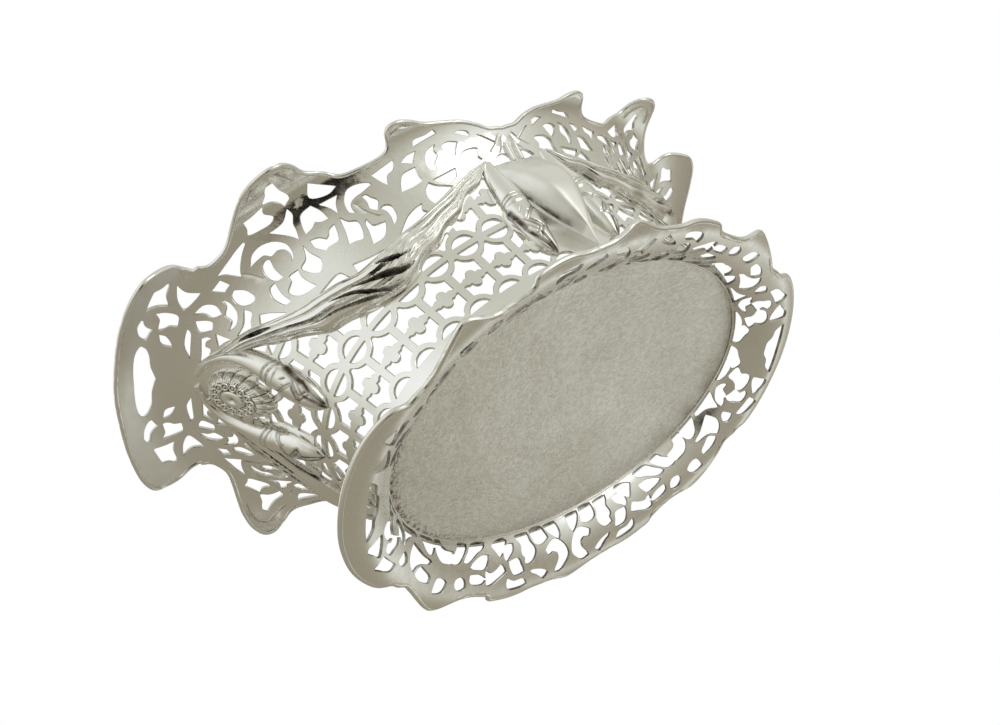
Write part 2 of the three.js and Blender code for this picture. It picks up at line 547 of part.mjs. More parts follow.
function dropAlong({ top, tip, half, high }, shape, at) {
  const stations = shape.map(([along, wide, tall]) => ({
    u: at(THREE.MathUtils.lerp(top[0], tip[0], along)),
    s: THREE.MathUtils.lerp(top[1], tip[1], along),
    half: half * wide,
    high: high * tall,
  }));
  return reliefAlong(stations, domeProfile);
}

// Patera: a scalloped flower with a hollow round its button
const patera = { level: 0.48, halfWidth: 6.6, halfHeight: 12.4, high: 5.2, petals: 9 };

function pateraAt(u) {
  const rings = [[1, 0], [1, 0.35], [0.8, 1], [0.45, 0.55], [0.3, 0.95]];
  const loops = rings.map(([size, share]) => Array.from({ length: 2 * patera.petals }, (_, i) => {
    const angle = -Math.PI * i / patera.petals;
    const scallop = i % 2 === 0 || size < 0.5 ? size : 0.93 * size;
    const spot = wallPlace.shift(u, patera.level, scallop * patera.halfWidth * Math.cos(angle),
      scallop * patera.halfHeight * Math.sin(angle));
    return wallPlace.at(spot.x, spot.y, appliedSeat + share * patera.high);
  }));
  return skin(loops, false);
}

// A short strap, one of the pair that a side boss hangs from
const strap = { spread: 0.14, levels: [0.52, 0.57, 0.62], half: 0.9, high: 1.1 };

function strapAt(u) {
  return reliefAlong(strap.levels.map((s) => ({ u, s, half: strap.half, high: strap.high })), strapProfile);
}

const basket = new THREE.Group();

function addPiece(name, geometry, look) {
  const flat = geometry.index ? geometry.toNonIndexed() : geometry;
  flat.computeVertexNormals();
  const mesh = new THREE.Mesh(flat, new THREE.MeshStandardMaterial(look));
  mesh.name = name;
  basket.add(mesh);
  return mesh;
}

addPiece('bowl_floor', bowlFloor(), brushed);
addPiece('pierced_wall', piercedWall(), silver);
addPiece('rim_border', edgeWire(wallPlace, rimKeys, halfRound), silver);
addPiece('pierced_foot', piercedFoot(), brushed);
addPiece('foot_border', edgeWire(footPlace, footKeys, halfTurnDegrees), silver);

const quarters = [
  { name: 'front_right', at: (u) => -u }, { name: 'back_right', at: (u) => u },
  { name: 'back_left', at: (u) => halfRound - u }, { name: 'front_left', at: (u) => halfRound + u },
];

for (const { name, at } of quarters) {
  const keys = swagKeys.map((key) => ({ ...key, u: at(key.u) }));
  const flip = at(1) < at(0);
  const folds = flip ? [...foldProfile.slice(0, 6).map(([across, share]) => [-across, share]).reverse(),
    ...foldProfile.slice(6)] : foldProfile;
  addPiece(`swag_${name}`, reliefAlong(keys, folds), silver);
  addPiece(`end_husk_${name}`, dropAlong(endHusk, huskShape, at), silver);
  addPiece(`side_husk_${name}`, dropAlong(sideHusk, huskShape, at), silver);
}

for (const [name, u] of [['right', 0], ['left', halfRound]]) {
  addPiece(`end_patera_${name}`, pateraAt(u), silver);
}

for (const [name, turn] of [['back', 0], ['front', -halfRound]]) {
  addPiece(`side_boss_${name}`, dropAlong(sideBoss, bossShape, (u) => u + turn), silver);
  for (const side of [-1, 1]) {
    const u = circlesPerQuarter + turn + side * strap.spread;
    addPiece(`side_strap_${name}_${side * (turn + 1) > 0 ? 'left' : 'right'}`, strapAt(u), silver);
  }
}

export default basket;
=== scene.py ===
"""An oval pierced silver basket: a sawn, flared wall on a sawn foot, hung with cloth swags."""
import logging
import math
from collections.abc import Sequence
from dataclasses import dataclass, field
from enum import Enum
from functools import cached_property, partial, reduce

import bmesh
import bpy
import numpy as np
from mathutils import Euler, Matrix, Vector, kdtree
from mathutils.geometry import delaunay_2d_cdt


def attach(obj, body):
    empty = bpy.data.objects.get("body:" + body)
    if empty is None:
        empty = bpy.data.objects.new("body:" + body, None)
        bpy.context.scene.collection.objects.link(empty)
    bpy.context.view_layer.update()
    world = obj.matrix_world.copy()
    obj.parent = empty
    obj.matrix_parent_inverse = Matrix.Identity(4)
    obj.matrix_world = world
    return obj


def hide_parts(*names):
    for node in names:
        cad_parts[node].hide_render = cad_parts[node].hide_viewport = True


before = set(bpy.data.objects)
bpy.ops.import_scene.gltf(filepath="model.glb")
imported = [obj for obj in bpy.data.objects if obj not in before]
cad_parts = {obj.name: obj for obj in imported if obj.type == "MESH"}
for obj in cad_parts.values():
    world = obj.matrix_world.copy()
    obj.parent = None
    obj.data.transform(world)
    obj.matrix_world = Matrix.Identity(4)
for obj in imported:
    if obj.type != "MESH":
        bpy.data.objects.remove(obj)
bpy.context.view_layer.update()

log = logging.getLogger("basket")

MM = 0.001
BODY = "root"
SHARP_ANGLE = math.radians(30)

Array = np.ndarray
Pairs = Sequence[tuple[float, float]]
Colour = tuple[float, float, float]
Material = bpy.types.Material
Piece = bpy.types.Object
Socket = bpy.types.NodeSocket


# ---- small sums ----------------------------------------------------------------------------------

def unit(vectors: Array) -> Array:
    """Return vectors brought to length 1."""
    return vectors / np.linalg.norm(vectors, axis=-1, keepdims=True)


def run_length(points: Array) -> Array:
    """Return how far along a line of points each of them lies."""
    return np.concatenate([[0], np.cumsum(np.linalg.norm(np.diff(points, axis=0), axis=1))])


def around(count: int) -> Array:
    """Return that many angles round a ring, in radians."""
    return np.linspace(0, 2 * math.pi, count, endpoint=False)


def grid(down: Array, across: Array) -> tuple[Array, Array]:
    """Return the values down and across a grid, at each of its corners."""
    return tuple(np.meshgrid(down, across, indexing="ij"))


def ramp(value: Array, start: float, end: float) -> Array:
    """Return a smooth rise from 0 to 1 between two values."""
    share = np.clip((value - start) / (end - start), 0, 1)
    return share * share * (3 - 2 * share)


def bell(value: Array, middle: float, width: float) -> Array:
    """Return a bell that is 1 at its middle."""
    return np.exp(-((value - middle) / width) ** 2)


def round_off(share: Array, power: float) -> Array:
    """Return a rounded height over a share from -1 to 1, 1 in its middle and 0 at its ends."""
    return np.clip(1 - np.abs(share) ** power, 0, 1) ** 0.5


# ---- curved sheets -------------------------------------------------------------------------------

class CurvedSheet:
    """A curved sheet: where (u, s) lies and how far a point stands off its middle."""

    half_turn: float
    flat: tuple[float, float]
    facing: float = 1.0

    def middle(self, u: Array, s: Array) -> Array:
        """Return points on the sheet's middle, in millimetres."""
        raise NotImplementedError

    def axes(self, u: Array, s: Array) -> tuple[Array, Array, Array]:
        """Directions at (u, s).

        Args:
            u: Positions round the oval.
            s: Positions from the inner edge to the shaped edge.

        Returns:
            Millimetres to one step of u, to one step of s, and the unit normal of the outer face.
        """
        step = 1e-3
        across_u = (self.middle(u + step, s) - self.middle(u - step, s)) / (2 * step)
        across_s = (self.middle(u, s + step) - self.middle(u, s - step)) / (2 * step)
        normal = np.cross(across_u, across_s)
        normal *= self.facing / np.linalg.norm(normal, axis=-1, keepdims=True)
        return across_u, across_s, normal

    def at(self, u: Array, s: Array, lift: Array | float = 0.0) -> Array:
        """Return points at (u, s), lifted off the middle towards the outer face."""
        u, s = np.broadcast_arrays(np.asarray(u, float), np.asarray(s, float))
        return self.middle(u, s) + self.axes(u, s)[2] * np.asarray(lift, float)[..., None]

    def shift(self, u: Array | float, s: Array | float, right: Array | float,
              up: Array | float) -> tuple[Array, Array]:
        """Points moved along the sheet.

        Args:
            u: Their positions round the oval.
            s: Their positions up the sheet.
            right: How far they go round the oval, in millimetres.
            up: How far they go up the sheet, in millimetres.

        Returns:
            Their new u and s.
        """
        u, s = np.broadcast_arrays(np.asarray(u, float), np.asarray(s, float))
        across_u, across_s, _ = self.axes(u, s)
        return (u + right / np.linalg.norm(across_u, axis=-1),
                s + up / np.linalg.norm(across_s, axis=-1))


def oval_points(half_length: float, half_width: float, angle: Array, reach: Array) -> Array:
    """Points on an oval, pushed out square to it.

    Args:
        half_length: Half of the oval along X.
        half_width: Half of the oval along Y.
        angle: Angle round the oval, in radians.
        reach: How far each point is pushed out.

    Returns:
        An array of x and y.
    """
    along, across = np.cos(angle), np.sin(angle)
    square = unit(np.stack([along / half_length, across / half_width], axis=-1))
    return np.stack([half_length * along, half_width * across], axis=-1) + square * reach[..., None]


@dataclass
class WallSheet(CurvedSheet):
    """The flared wall; u counts lattice circles from the middle of the right end."""

    half_length: float = 76.0
    half_width: float = 53.0
    base: float = 11.8
    rise_mean: float = 67.2
    rise_swing: float = 8.8
    flare_mean: float = 35.3
    flare_swing: float = 4.7
    flare_corner: float = 2.2
    flare_power: float = 1.29
    roll: float = 1.114
    circles_per_quarter: float = 9.5
    lattice_height: float = 38.1
    half_turn: float = 19.0
    flat: tuple[float, float] = (11.5, 75.0)
    floor_edge: float = 0.9

    @property
    def floor_half(self) -> tuple[float, float]:
        """Return half the floor's length and width."""
        return self.half_length - self.floor_edge, self.half_width - self.floor_edge

    def rise(self, angle: Array) -> Array:
        """Return the wall's height scale at an angle."""
        return self.rise_mean + self.rise_swing * np.cos(2 * angle)

    def by_angle(self, angle: Array, s: Array) -> Array:
        """Points on the wall's middle.

        Args:
            angle: Angles round the oval, in radians.
            s: Positions up the wall.

        Returns:
            The points, in millimetres.
        """
        flare = (self.flare_mean + self.flare_swing * np.cos(2 * angle)
                 + self.flare_corner * np.cos(4 * angle))
        reach = flare * np.sign(s) * np.abs(s) ** self.flare_power
        plan = oval_points(self.half_length, self.half_width, angle, reach)
        height = self.base + self.rise(angle) * s * (1 + self.roll * (1 - s))
        return np.concatenate([plan, height[..., None]], axis=-1)

    def level(self, angle: Array, height: Array) -> Array:
        """Return the s at which the wall reaches a height."""
        share, slope = (height - self.base) / self.rise(angle), 1 + self.roll
        return (slope - np.sqrt(slope * slope - 4 * self.roll * share)) / (2 * self.roll)

    @cached_property
    def quarter(self) -> tuple[Array, Array]:
        """The middle row of circles over one quarter.

        Returns:
            Millimetres along it, and the angles there.
        """
        angles = np.radians(np.arange(181) / 2)
        levels = self.level(angles, np.full(181, self.lattice_height))
        return run_length(self.by_angle(angles, levels)), angles

    @property
    def pitch(self) -> float:
        """Return millimetres from one lattice circle to the next."""
        return float(self.quarter[0][-1] / self.circles_per_quarter)

    def angle(self, u: Array) -> Array:
        """The angle round the oval for a count of circles.

        Args:
            u: The count, right round in either direction.

        Returns:
            The angle in radians.
        """
        run, angles = self.quarter
        turns = np.floor(u / self.half_turn + 0.5)
        rest = u - turns * self.half_turn
        return turns * math.pi + np.sign(rest) * np.interp(np.abs(rest) * self.pitch, run, angles)

    def middle(self, u: Array, s: Array) -> Array:
        """Return points on the wall's middle, in millimetres."""
        return self.by_angle(self.angle(u), s)

    def height(self, u: Array, height: Array) -> Array:
        """Return the s at which the wall over position u reaches a height."""
        return self.level(self.angle(u), height)


@dataclass
class FootSheet(CurvedSheet):
    """The skirt foot; u is in degrees, s runs from the bowl to the foot's edge."""

    half_length: float = 76.0
    half_width: float = 50.3
    top: float = 11.2
    bottom: float = 0.6
    reach: float = 18.2
    power: float = 1.35
    roll: float = 0.7
    flat_from: float = 0.83
    curl: float = 24.0
    half_turn: float = 180.0
    flat: tuple[float, float] = (1.3, 21.4)
    facing: float = -1.0

    def fall(self, s: Array | float) -> Array | float:
        """Return how far the skirt has fallen at s, before it is measured against its flat edge."""
        return s * (1 + self.roll * (1 - s))

    def middle(self, u: Array, s: Array) -> Array:
        """Points on the foot's middle.

        Args:
            u: Angles round the oval, in degrees.
            s: Positions down the skirt.

        Returns:
            The points, in millimetres.
        """
        reach = self.reach * np.maximum(s, 0) ** self.power
        plan = oval_points(self.half_length, self.half_width, np.radians(u), reach)
        drop = np.minimum(1, self.fall(np.minimum(s, self.flat_from)) / self.fall(self.flat_from))
        height = self.top - (self.top - self.bottom) * drop
        height = height + self.curl * np.maximum(s - self.flat_from, 0) ** 2
        return np.concatenate([plan, height[..., None]], axis=-1)


WALL = WallSheet()
FOOT = FootSheet()


# ---- lines ---------------------------------------------------------------------------------------

CLEAR_SHARE = 0.93  # a moved point nearer to its line than this share of the move is dropped


def smooth_line(points: Pairs | Array, flat: tuple[float, float], step: float = 1.0,
                corner: float = 80.0, closed: bool = True) -> Array:
    """A smooth line through points that keeps its sharp corners.

    Args:
        points: Pairs of u and s.
        flat: Millimetres to one step of u and of s.
        step: Longest piece of the line, in millimetres.
        corner: Turn in degrees above which a point stays a sharp corner.
        closed: Whether the line comes back to its start.

    Returns:
        The line's points as (u, s).
    """
    p = np.array(points, float) * flat
    before, after = p - np.roll(p, 1, 0), np.roll(p, -1, 0) - p
    turn = np.abs(np.arctan2(before[:, 0] * after[:, 1] - before[:, 1] * after[:, 0],
                             (before * after).sum(1)))
    sharp = np.degrees(turn) > corner
    if not closed:
        sharp[0] = sharp[-1] = True
    count = len(p)
    pieces = []
    for i in range(count if closed else count - 1):
        j = (i + 1) % count
        p1, p2 = p[i], p[j]
        p0 = p1 + (p1 - p2) * (1.0 if sharp[j] else 0.5) if sharp[i] else p[i - 1]
        p3 = p2 + (p2 - p1) * (1.0 if sharp[i] else 0.5) if sharp[j] else p[(i + 2) % count]
        d0, d1, d2 = (max(float(np.linalg.norm(a - b)), 1e-6) ** 0.5
                      for a, b in ((p1, p0), (p2, p1), (p3, p2)))
        start = ((p1 - p0) / d0 - (p2 - p0) / (d0 + d1) + (p2 - p1) / d1) * d1
        end = ((p2 - p1) / d1 - (p3 - p1) / (d1 + d2) + (p3 - p2) / d2) * d1
        steps = max(1, math.ceil(float(np.linalg.norm(p2 - p1)) / step))
        t = (np.arange(steps) / steps)[:, None]
        pieces.append((2 * t**3 - 3 * t**2 + 1) * p1 + (t**3 - 2 * t**2 + t) * start
                      + (3 * t**2 - 2 * t**3) * p2 + (t**3 - t**2) * end)
    if not closed:
        pieces.append(p[-1:])
    return np.vstack(pieces) / flat


def open_line(points: Pairs | Array, surface: CurvedSheet, step: float = 1.0) -> Array:
    """Return a smooth line on a sheet that doesn't come back to its start."""
    return smooth_line(points, surface.flat, step, closed=False)


def both_sides(half: Array) -> Array:
    """Return a line from the middle of an end, carried on to the other side of that middle."""
    return np.vstack([half[:0:-1] * (-1, 1), half])


def inside(points: Array, loop: Array) -> Array:
    """Whether points lie in a closed loop.

    Args:
        points: Points as (x, y).
        loop: Corners of the loop.

    Returns:
        True for each point inside.
    """
    low, high = loop.min(0), loop.max(0)
    near = np.all((points > low) & (points < high), axis=1)
    found = np.zeros(len(points), bool)
    if not near.any():
        return found
    x, y = points[near, 0][:, None], points[near, 1][:, None]
    a, b = loop, np.roll(loop, -1, 0)
    crosses = (a[:, 1] > y) != (b[:, 1] > y)
    rise = np.where(np.abs(b[:, 1] - a[:, 1]) < 1e-12, 1e-12, b[:, 1] - a[:, 1])
    at = a[:, 0] + (y - a[:, 1]) * (b[:, 0] - a[:, 0]) / rise
    found[near] = ((crosses & (x < at)).sum(1) % 2).astype(bool)
    return found


def nearest(points: Array, others: Array) -> Array:
    """How far flat points lie from the nearest of other points.

    Args:
        points: Points as (x, y).
        others: The other points.

    Returns:
        A distance for each point.
    """
    tree = kdtree.KDTree(len(others))
    for i, (a, b) in enumerate(others):
        tree.insert((a, b, 0), i)
    tree.balance()
    return np.array([tree.find((a, b, 0))[2] for a, b in points])


def smooth_keys(value: Array, keys: Pairs) -> Array:
    """A smooth line through keys, without overshoot.

    Args:
        value: Where to read it.
        keys: Pairs of place and height, in order.

    Returns:
        Its height at each value.
    """
    x, y = np.array(keys, float).T
    step = np.diff(x)
    slope = np.diff(y) / step
    before, after = slope[:-1], slope[1:]
    total = np.where(before + after == 0, 1, before + after)
    tilt = np.concatenate([slope[:1], np.where(before * after > 0, 2 * before * after / total, 0),
                           slope[-1:]])
    i = np.clip(np.searchsorted(x, value, side="right") - 1, 0, len(step) - 1)
    t = np.clip((value - x[i]) / step[i], 0, 1)
    return (y[i] * (1 + 2 * t) * (1 - t) ** 2 + tilt[i] * step[i] * t * (1 - t) ** 2
            + y[i + 1] * t * t * (3 - 2 * t) + tilt[i + 1] * step[i] * t * t * (t - 1))


def offset_line(line: Array, flat: tuple[float, float], distance: float,
                closed: bool = True) -> Array:
    """A line moved sideways, without the loops that this makes in corners.

    Args:
        line: Points as (u, s).
        flat: Millimetres to one step of u and of s.
        distance: How far to the left of its run, in millimetres.
        closed: Whether the line comes back to its start.

    Returns:
        The moved points that keep that distance.
    """
    p = line * flat
    run = np.roll(p, -1, 0) - np.roll(p, 1, 0)
    if not closed:
        run[0], run[-1] = p[1] - p[0], p[-1] - p[-2]
    run /= np.maximum(np.linalg.norm(run, axis=1, keepdims=True), 1e-9)
    moved = p + np.stack([-run[:, 1], run[:, 0]], 1) * distance
    gap = np.linalg.norm(moved[:, None] - p[None], axis=2).min(1)
    return moved[gap > abs(distance) * CLEAR_SHARE] / flat


# ---- meshes --------------------------------------------------------------------------------------

def add_object(name: str, data: bpy.types.ID) -> Piece:
    """Put a new object in the scene.

    Args:
        name: Its name.
        data: Its mesh, lamp or camera data.

    Returns:
        The object.
    """
    made = bpy.data.objects.new(name, data)
    bpy.context.scene.collection.objects.link(made)
    return made


def make_piece(name: str, points: Array, faces: Sequence[Sequence[int]], finish: Material,
               marks: dict[str, Array] | None = None, outward: bool = False) -> Piece:
    """A mesh object at the origin.

    Args:
        name: Name of the piece.
        points: Corners in millimetres.
        faces: Corner numbers of each face.
        finish: Its material.
        marks: Numbers kept on each corner, such as how dark it is painted in a fold: tarnish with
            painted shade.
        outward: Whether the faces are turned outwards here.

    Returns:
        The new object.
    """
    mesh = bpy.data.meshes.new(name)
    mesh.from_pydata((np.asarray(points) * MM).tolist(), [], [list(map(int, f)) for f in faces])
    for key, values in (marks or {}).items():
        layer = mesh.attributes.new(key, "FLOAT", "POINT")
        layer.data.foreach_set("value", np.asarray(values, np.float32).ravel())
    if outward:
        turn_outward(mesh)
    return finish_piece(name, mesh, finish)


def turn_outward(mesh: bpy.types.Mesh) -> None:
    """Turn the faces of a closed mesh outwards, doubles merged first.

    Args:
        mesh: The mesh, changed in place.
    """
    work = bmesh.new()
    work.from_mesh(mesh)
    bmesh.ops.remove_doubles(work, verts=work.verts, dist=1e-7)
    bmesh.ops.recalc_face_normals(work, faces=work.faces)
    work.to_mesh(mesh)
    work.free()


def finish_piece(name: str, mesh: bpy.types.Mesh, finish: Material) -> Piece:
    """Give a mesh its material and shading and put it in the scene.

    Args:
        name: Name of the piece.
        mesh: Its mesh, in metres.
        finish: Its material.

    Returns:
        The object.
    """
    mesh.validate()
    mesh.materials.clear()
    mesh.materials.append(finish)
    mesh.shade_smooth()
    mesh.set_sharp_from_angle(angle=SHARP_ANGLE)
    log.info("%s: %d faces", name, len(mesh.polygons))
    return add_object(name, mesh)


def grid_faces(rows: int, columns: int, wrap: bool = False) -> list[tuple[int, int, int, int]]:
    """The faces of a grid of corners, row after row.

    Args:
        rows: How many rows of corners.
        columns: How many corners in a row.
        wrap: Whether the last column is joined to the first.

    Returns:
        The corner numbers of each face.
    """
    last = columns if wrap else columns - 1
    return [(i * columns + j, i * columns + (j + 1) % columns,
             (i + 1) * columns + (j + 1) % columns, (i + 1) * columns + j)
            for i in range(rows - 1) for j in range(last)]


class SlotName(Enum):
    """Material slots of the part's record."""

    POLISHED = "polished_silver"
    BRUSHED = "brushed_silver"


def place_piece(piece: Piece, slot: SlotName, *nodes: str) -> None:
    """Ride a piece on the basket's body.

    Args:
        piece: The piece.
        slot: Not used; names the slot meant for it in the record.
        nodes: The CAD nodes that it stands for.
    """
    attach(piece, BODY)
    if nodes:
        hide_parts(*nodes)


# ---- nodes ---------------------------------------------------------------------------------------

class Nodes:
    """A tree of nodes, built in short calls."""

    prefix = "ShaderNode"

    def __init__(self, tree: bpy.types.NodeTree) -> None:
        """Take a tree."""
        self.tree = tree

    def node(self, kind: str, inputs: dict[str | int, object] | None = None,
             **settings: object) -> bpy.types.Node:
        """Add a node.

        Args:
            kind: Its type, in full or without the usual prefix.
            inputs: Values or sockets for its inputs.
            settings: Its own settings.

        Returns:
            The node.
        """
        new = self.tree.nodes.new(kind if "Node" in kind else self.prefix + kind)
        for key, value in settings.items():
            setattr(new, key, value)
        for key, value in (inputs or {}).items():
            if isinstance(value, Socket):
                self.tree.links.new(value, new.inputs[key])
            else:
                new.inputs[key].default_value = value
        return new


class Graph(Nodes):
    """A material's nodes."""

    def __init__(self, name: str) -> None:
        """Start an empty material.

        Args:
            name: Its name.
        """
        self.material = bpy.data.materials.new(name)
        self.material.use_nodes = True
        super().__init__(self.material.node_tree)
        self.tree.nodes.clear()

    def dressed(self, shader: bpy.types.Node) -> Material:
        """Return the material, which shows this shader."""
        self.node("OutputMaterial", {0: shader.outputs[0]})
        return self.material

    def place(self) -> Socket:
        """Return the object's own coordinates, in metres."""
        return self.node("TexCoord").outputs["Object"]

    def math(self, operation: str, a: object, b: object = 0.0) -> Socket:
        """Return the result of a Math node."""
        return self.node("Math", {0: a, 1: b}, operation=operation).outputs[0]

    def vector(self, operation: str, a: object, b: object = (0.0, 0.0, 0.0)) -> bpy.types.Node:
        """Return a Vector Math node."""
        return self.node("VectorMath", {0: a, 1: b}, operation=operation)

    def total(self, *values: object) -> Socket:
        """Return the sum of some values."""
        return reduce(partial(self.math, "ADD"), values)

    def product(self, *values: object) -> Socket:
        """Return the product of some values."""
        return reduce(partial(self.math, "MULTIPLY"), values)

    def toward(self, way: Socket, azimuth: float, elevation: float) -> Socket:
        """How near a way lies to a direction.

        Args:
            way: The way, of length 1.
            azimuth: The direction's turn from X, in degrees.
            elevation: Its rise, in degrees.

        Returns:
            1 where they are the same, 0 where they are square to each other.
        """
        turn, rise = math.radians(azimuth), math.radians(elevation)
        aim = (math.cos(rise) * math.cos(turn), math.cos(rise) * math.sin(turn), math.sin(rise))
        return self.vector("DOT_PRODUCT", way, aim).outputs["Value"]

    def noise(self, place: Socket, scale: float, detail: float = 2.0,
              roughness: float = 0.5) -> Socket:
        """Return the height of a noise of so many features to a metre."""
        return self.node("TexNoise", {"Vector": place, "Scale": scale, "Detail": detail,
                                      "Roughness": roughness}).outputs["Fac"]

    def stretched(self, place: Socket, turn: tuple[float, float, float],
                  scale: tuple[float, float, float]) -> Socket:
        """Return coordinates turned by so many degrees and stretched."""
        return self.node("Mapping", {"Vector": place, "Rotation": Euler(map(math.radians, turn)),
                                     "Scale": scale}).outputs[0]

    def remap(self, value: object, low: float, high: float, start: float = 0.0,
              end: float = 1.0) -> Socket:
        """Return a value moved from one range to another, held inside it."""
        return self.node("MapRange", {"Value": value, "From Min": start, "From Max": end,
                                      "To Min": low, "To Max": high}).outputs[0]

    def blend(self, share: object, a: object, b: object) -> Socket:
        """Return a colour between two colours."""
        return self.node("Mix", {0: share, 6: a, 7: b}, data_type="RGBA").outputs[2]


# ---- finishes ------------------------------------------------------------------------------------

@dataclass(frozen=True)
class Silver:
    """A silver finish: its tones, its polish, handling marks, and tarnish mixed with painted shade.

    The scales count features to a metre. A height is that of a mark at strength 1, in metres.
    """

    name: str
    bright: Colour = (0.935, 0.93, 0.915)
    warm: Colour = (0.885, 0.875, 0.84)
    # dark tone for tarnish spots, and for tarnish with painted shade in hollows and cut edges
    tarnish_and_shade: Colour = (0.10, 0.075, 0.05)
    stroke_tone: Colour = (0.35, 0.33, 0.28)
    rough_low: float = 0.09
    rough_high: float = 0.20
    wave: float = 0.10
    ripple: float = 0.06
    scratch: float = 0.05
    grain: float = 0.0
    strokes: float = 0.0
    # corner attribute that darkens hollows, folds and cut edges: partly tarnish, partly painted
    # shade
    recess: str = ""
    edge_speckle: float = 0.0
    satin_ends: float = 0.0
    satin_from: float = 0.090
    satin_to: float = 0.108
    cloud_scale: float = 38.0
    fine_scale: float = 420.0
    wave_scale: float = 22.0
    ripple_scale: float = 130.0
    grain_scale: float = 2600.0
    tarnish_shade_scale: float = 300.0
    spot_scale: float = 700.0
    stroke_scale: float = 640.0
    bend_scale: float = 24.0
    scratch_stretch: tuple[float, float, float] = (60.0, 1600.0, 1600.0)
    stroke_stretch: tuple[float, float, float] = (420.0, 1300.0, 400.0)
    patch_stretch: tuple[float, float, float] = (90.0, 90.0, 90.0)
    stroke_turns: tuple[float, ...] = (15.0, 75.0, 140.0)
    bend_reach: tuple[float, float, float] = (0.012, 0.012, 0.0)
    wave_height: float = 0.012
    ripple_height: float = 0.002
    mark_height: float = 0.0002

    def make(self) -> Material:
        """Build the material.

        Returns:
            The silver, which is rougher and darker where it is marked so, as tarnish with painted
            shade.
        """
        g = Graph(self.name)
        place = g.place()
        cloud = g.noise(place, self.cloud_scale, 3)
        fine = g.noise(place, self.fine_scale, 4, 0.6)
        colour = g.blend(g.remap(cloud, 0, 1, 0.35, 0.68), (*self.bright, 1), (*self.warm, 1))
        rough = g.total(g.remap(fine, self.rough_low, self.rough_high, 0.3, 0.7),
                        g.remap(cloud, -0.03, 0.04, 0.3, 0.7))
        bumps = [(g.noise(place, self.wave_scale, 1), self.wave * self.wave_height),
                 (g.noise(place, self.ripple_scale, 2), self.ripple * self.ripple_height),
                 (self.scratches(g, place), self.scratch * self.mark_height)]
        if self.grain:
            bumps.append((g.noise(place, self.grain_scale, 3, 0.7), self.grain * self.mark_height))
        if self.strokes:
            swirl = self.swirl(g, place)
            bumps.append((swirl, self.strokes * self.mark_height))
            shade = g.product(g.remap(swirl, 0.0, 1.0, 0.38, 0.62), 0.2)
            colour = g.blend(shade, colour, (*self.stroke_tone, 1))
        if self.recess:
            # painted shade with tarnish: marked hollows and cut edges are blended towards the dark
            # tone, broken up by noise
            depth = g.node("Attribute", attribute_name=self.recess).outputs["Fac"]
            spread = g.remap(g.noise(place, self.tarnish_shade_scale, 3), 0.45, 1.0, 0.35, 0.6)
            tarnish_shade = g.product(depth, spread)
            colour = g.blend(tarnish_shade, colour, (*self.tarnish_and_shade, 1))
            rough = g.total(rough, g.product(tarnish_shade, 0.3))
        if self.satin_ends:
            along = g.math("ABSOLUTE", g.node("SeparateXYZ", {0: place}).outputs[0])
            rough = g.total(rough, g.remap(along, 0.0, self.satin_ends, self.satin_from,
                                           self.satin_to))
        if self.edge_speckle:
            colour = g.blend(self.speckle(g, place), colour, (*self.tarnish_and_shade, 1))
        height = g.total(*(g.product(bump, high) for bump, high in bumps))
        bump = g.node("Bump", {"Height": height, "Distance": 1.0, "Strength": 1.0})
        return g.dressed(g.node("BsdfPrincipled", {"Base Color": colour, "Metallic": 1.0,
                                                   "Roughness": rough, "Normal": bump.outputs[0]}))

    def scratches(self, g: Graph, place: Socket) -> Socket:
        """Return fine straight scratches in three directions."""
        return g.total(*(g.noise(g.stretched(place, (20 * k, 35 * k + 10, 50 * k),
                                             self.scratch_stretch), 1, 1) for k in (1, 2, 3)))

    def swirl(self, g: Graph, place: Socket) -> Socket:
        """Short curved polishing strokes that cross each other.

        Args:
            g: The material's nodes.
            place: The object's coordinates.

        Returns:
            Their height.
        """
        bend = g.node("TexNoise", {"Vector": place, "Scale": self.bend_scale, "Detail": 1.0})
        bent = g.vector("MULTIPLY", bend.outputs["Color"], self.bend_reach).outputs[0]
        curved = g.vector("ADD", place, bent).outputs[0]
        layers = [g.noise(place, self.stroke_scale, 2, 0.7)]
        for turn in self.stroke_turns:
            lines = g.noise(g.stretched(curved, (0, 0, turn), self.stroke_stretch), 1, 2, 0.6)
            patch = g.noise(g.stretched(place, (0, 0, turn), self.patch_stretch), 1, 1)
            layers.append(g.product(g.math("SUBTRACT", lines, 0.5), g.remap(patch, 0, 1, 0.4, 0.6)))
        return g.total(*layers)

    def speckle(self, g: Graph, place: Socket) -> Socket:
        """The tarnish spots that gather in the corner round the floor.

        Args:
            g: The material's nodes.
            place: The object's coordinates.

        Returns:
            How dark each place is, more so at the left end.
        """
        apart = g.node("SeparateXYZ", {0: place})
        square = [g.math("POWER", g.math("DIVIDE", g.math("ABSOLUTE", apart.outputs[k]), half * MM),
                         2.0) for k, half in enumerate(WALL.floor_half)]
        near = g.remap(g.total(*square), 0, 1, 0.86, 1.0)
        spots = g.remap(g.noise(place, self.spot_scale, 3, 0.7), 0, 1, 0.50, 0.57)
        worn = g.remap(apart.outputs[0], self.edge_speckle, 0.0, -0.045, 0.03)
        return g.product(near, spots, worn)


# ---- pieces made by Geometry Nodes ---------------------------------------------------------------

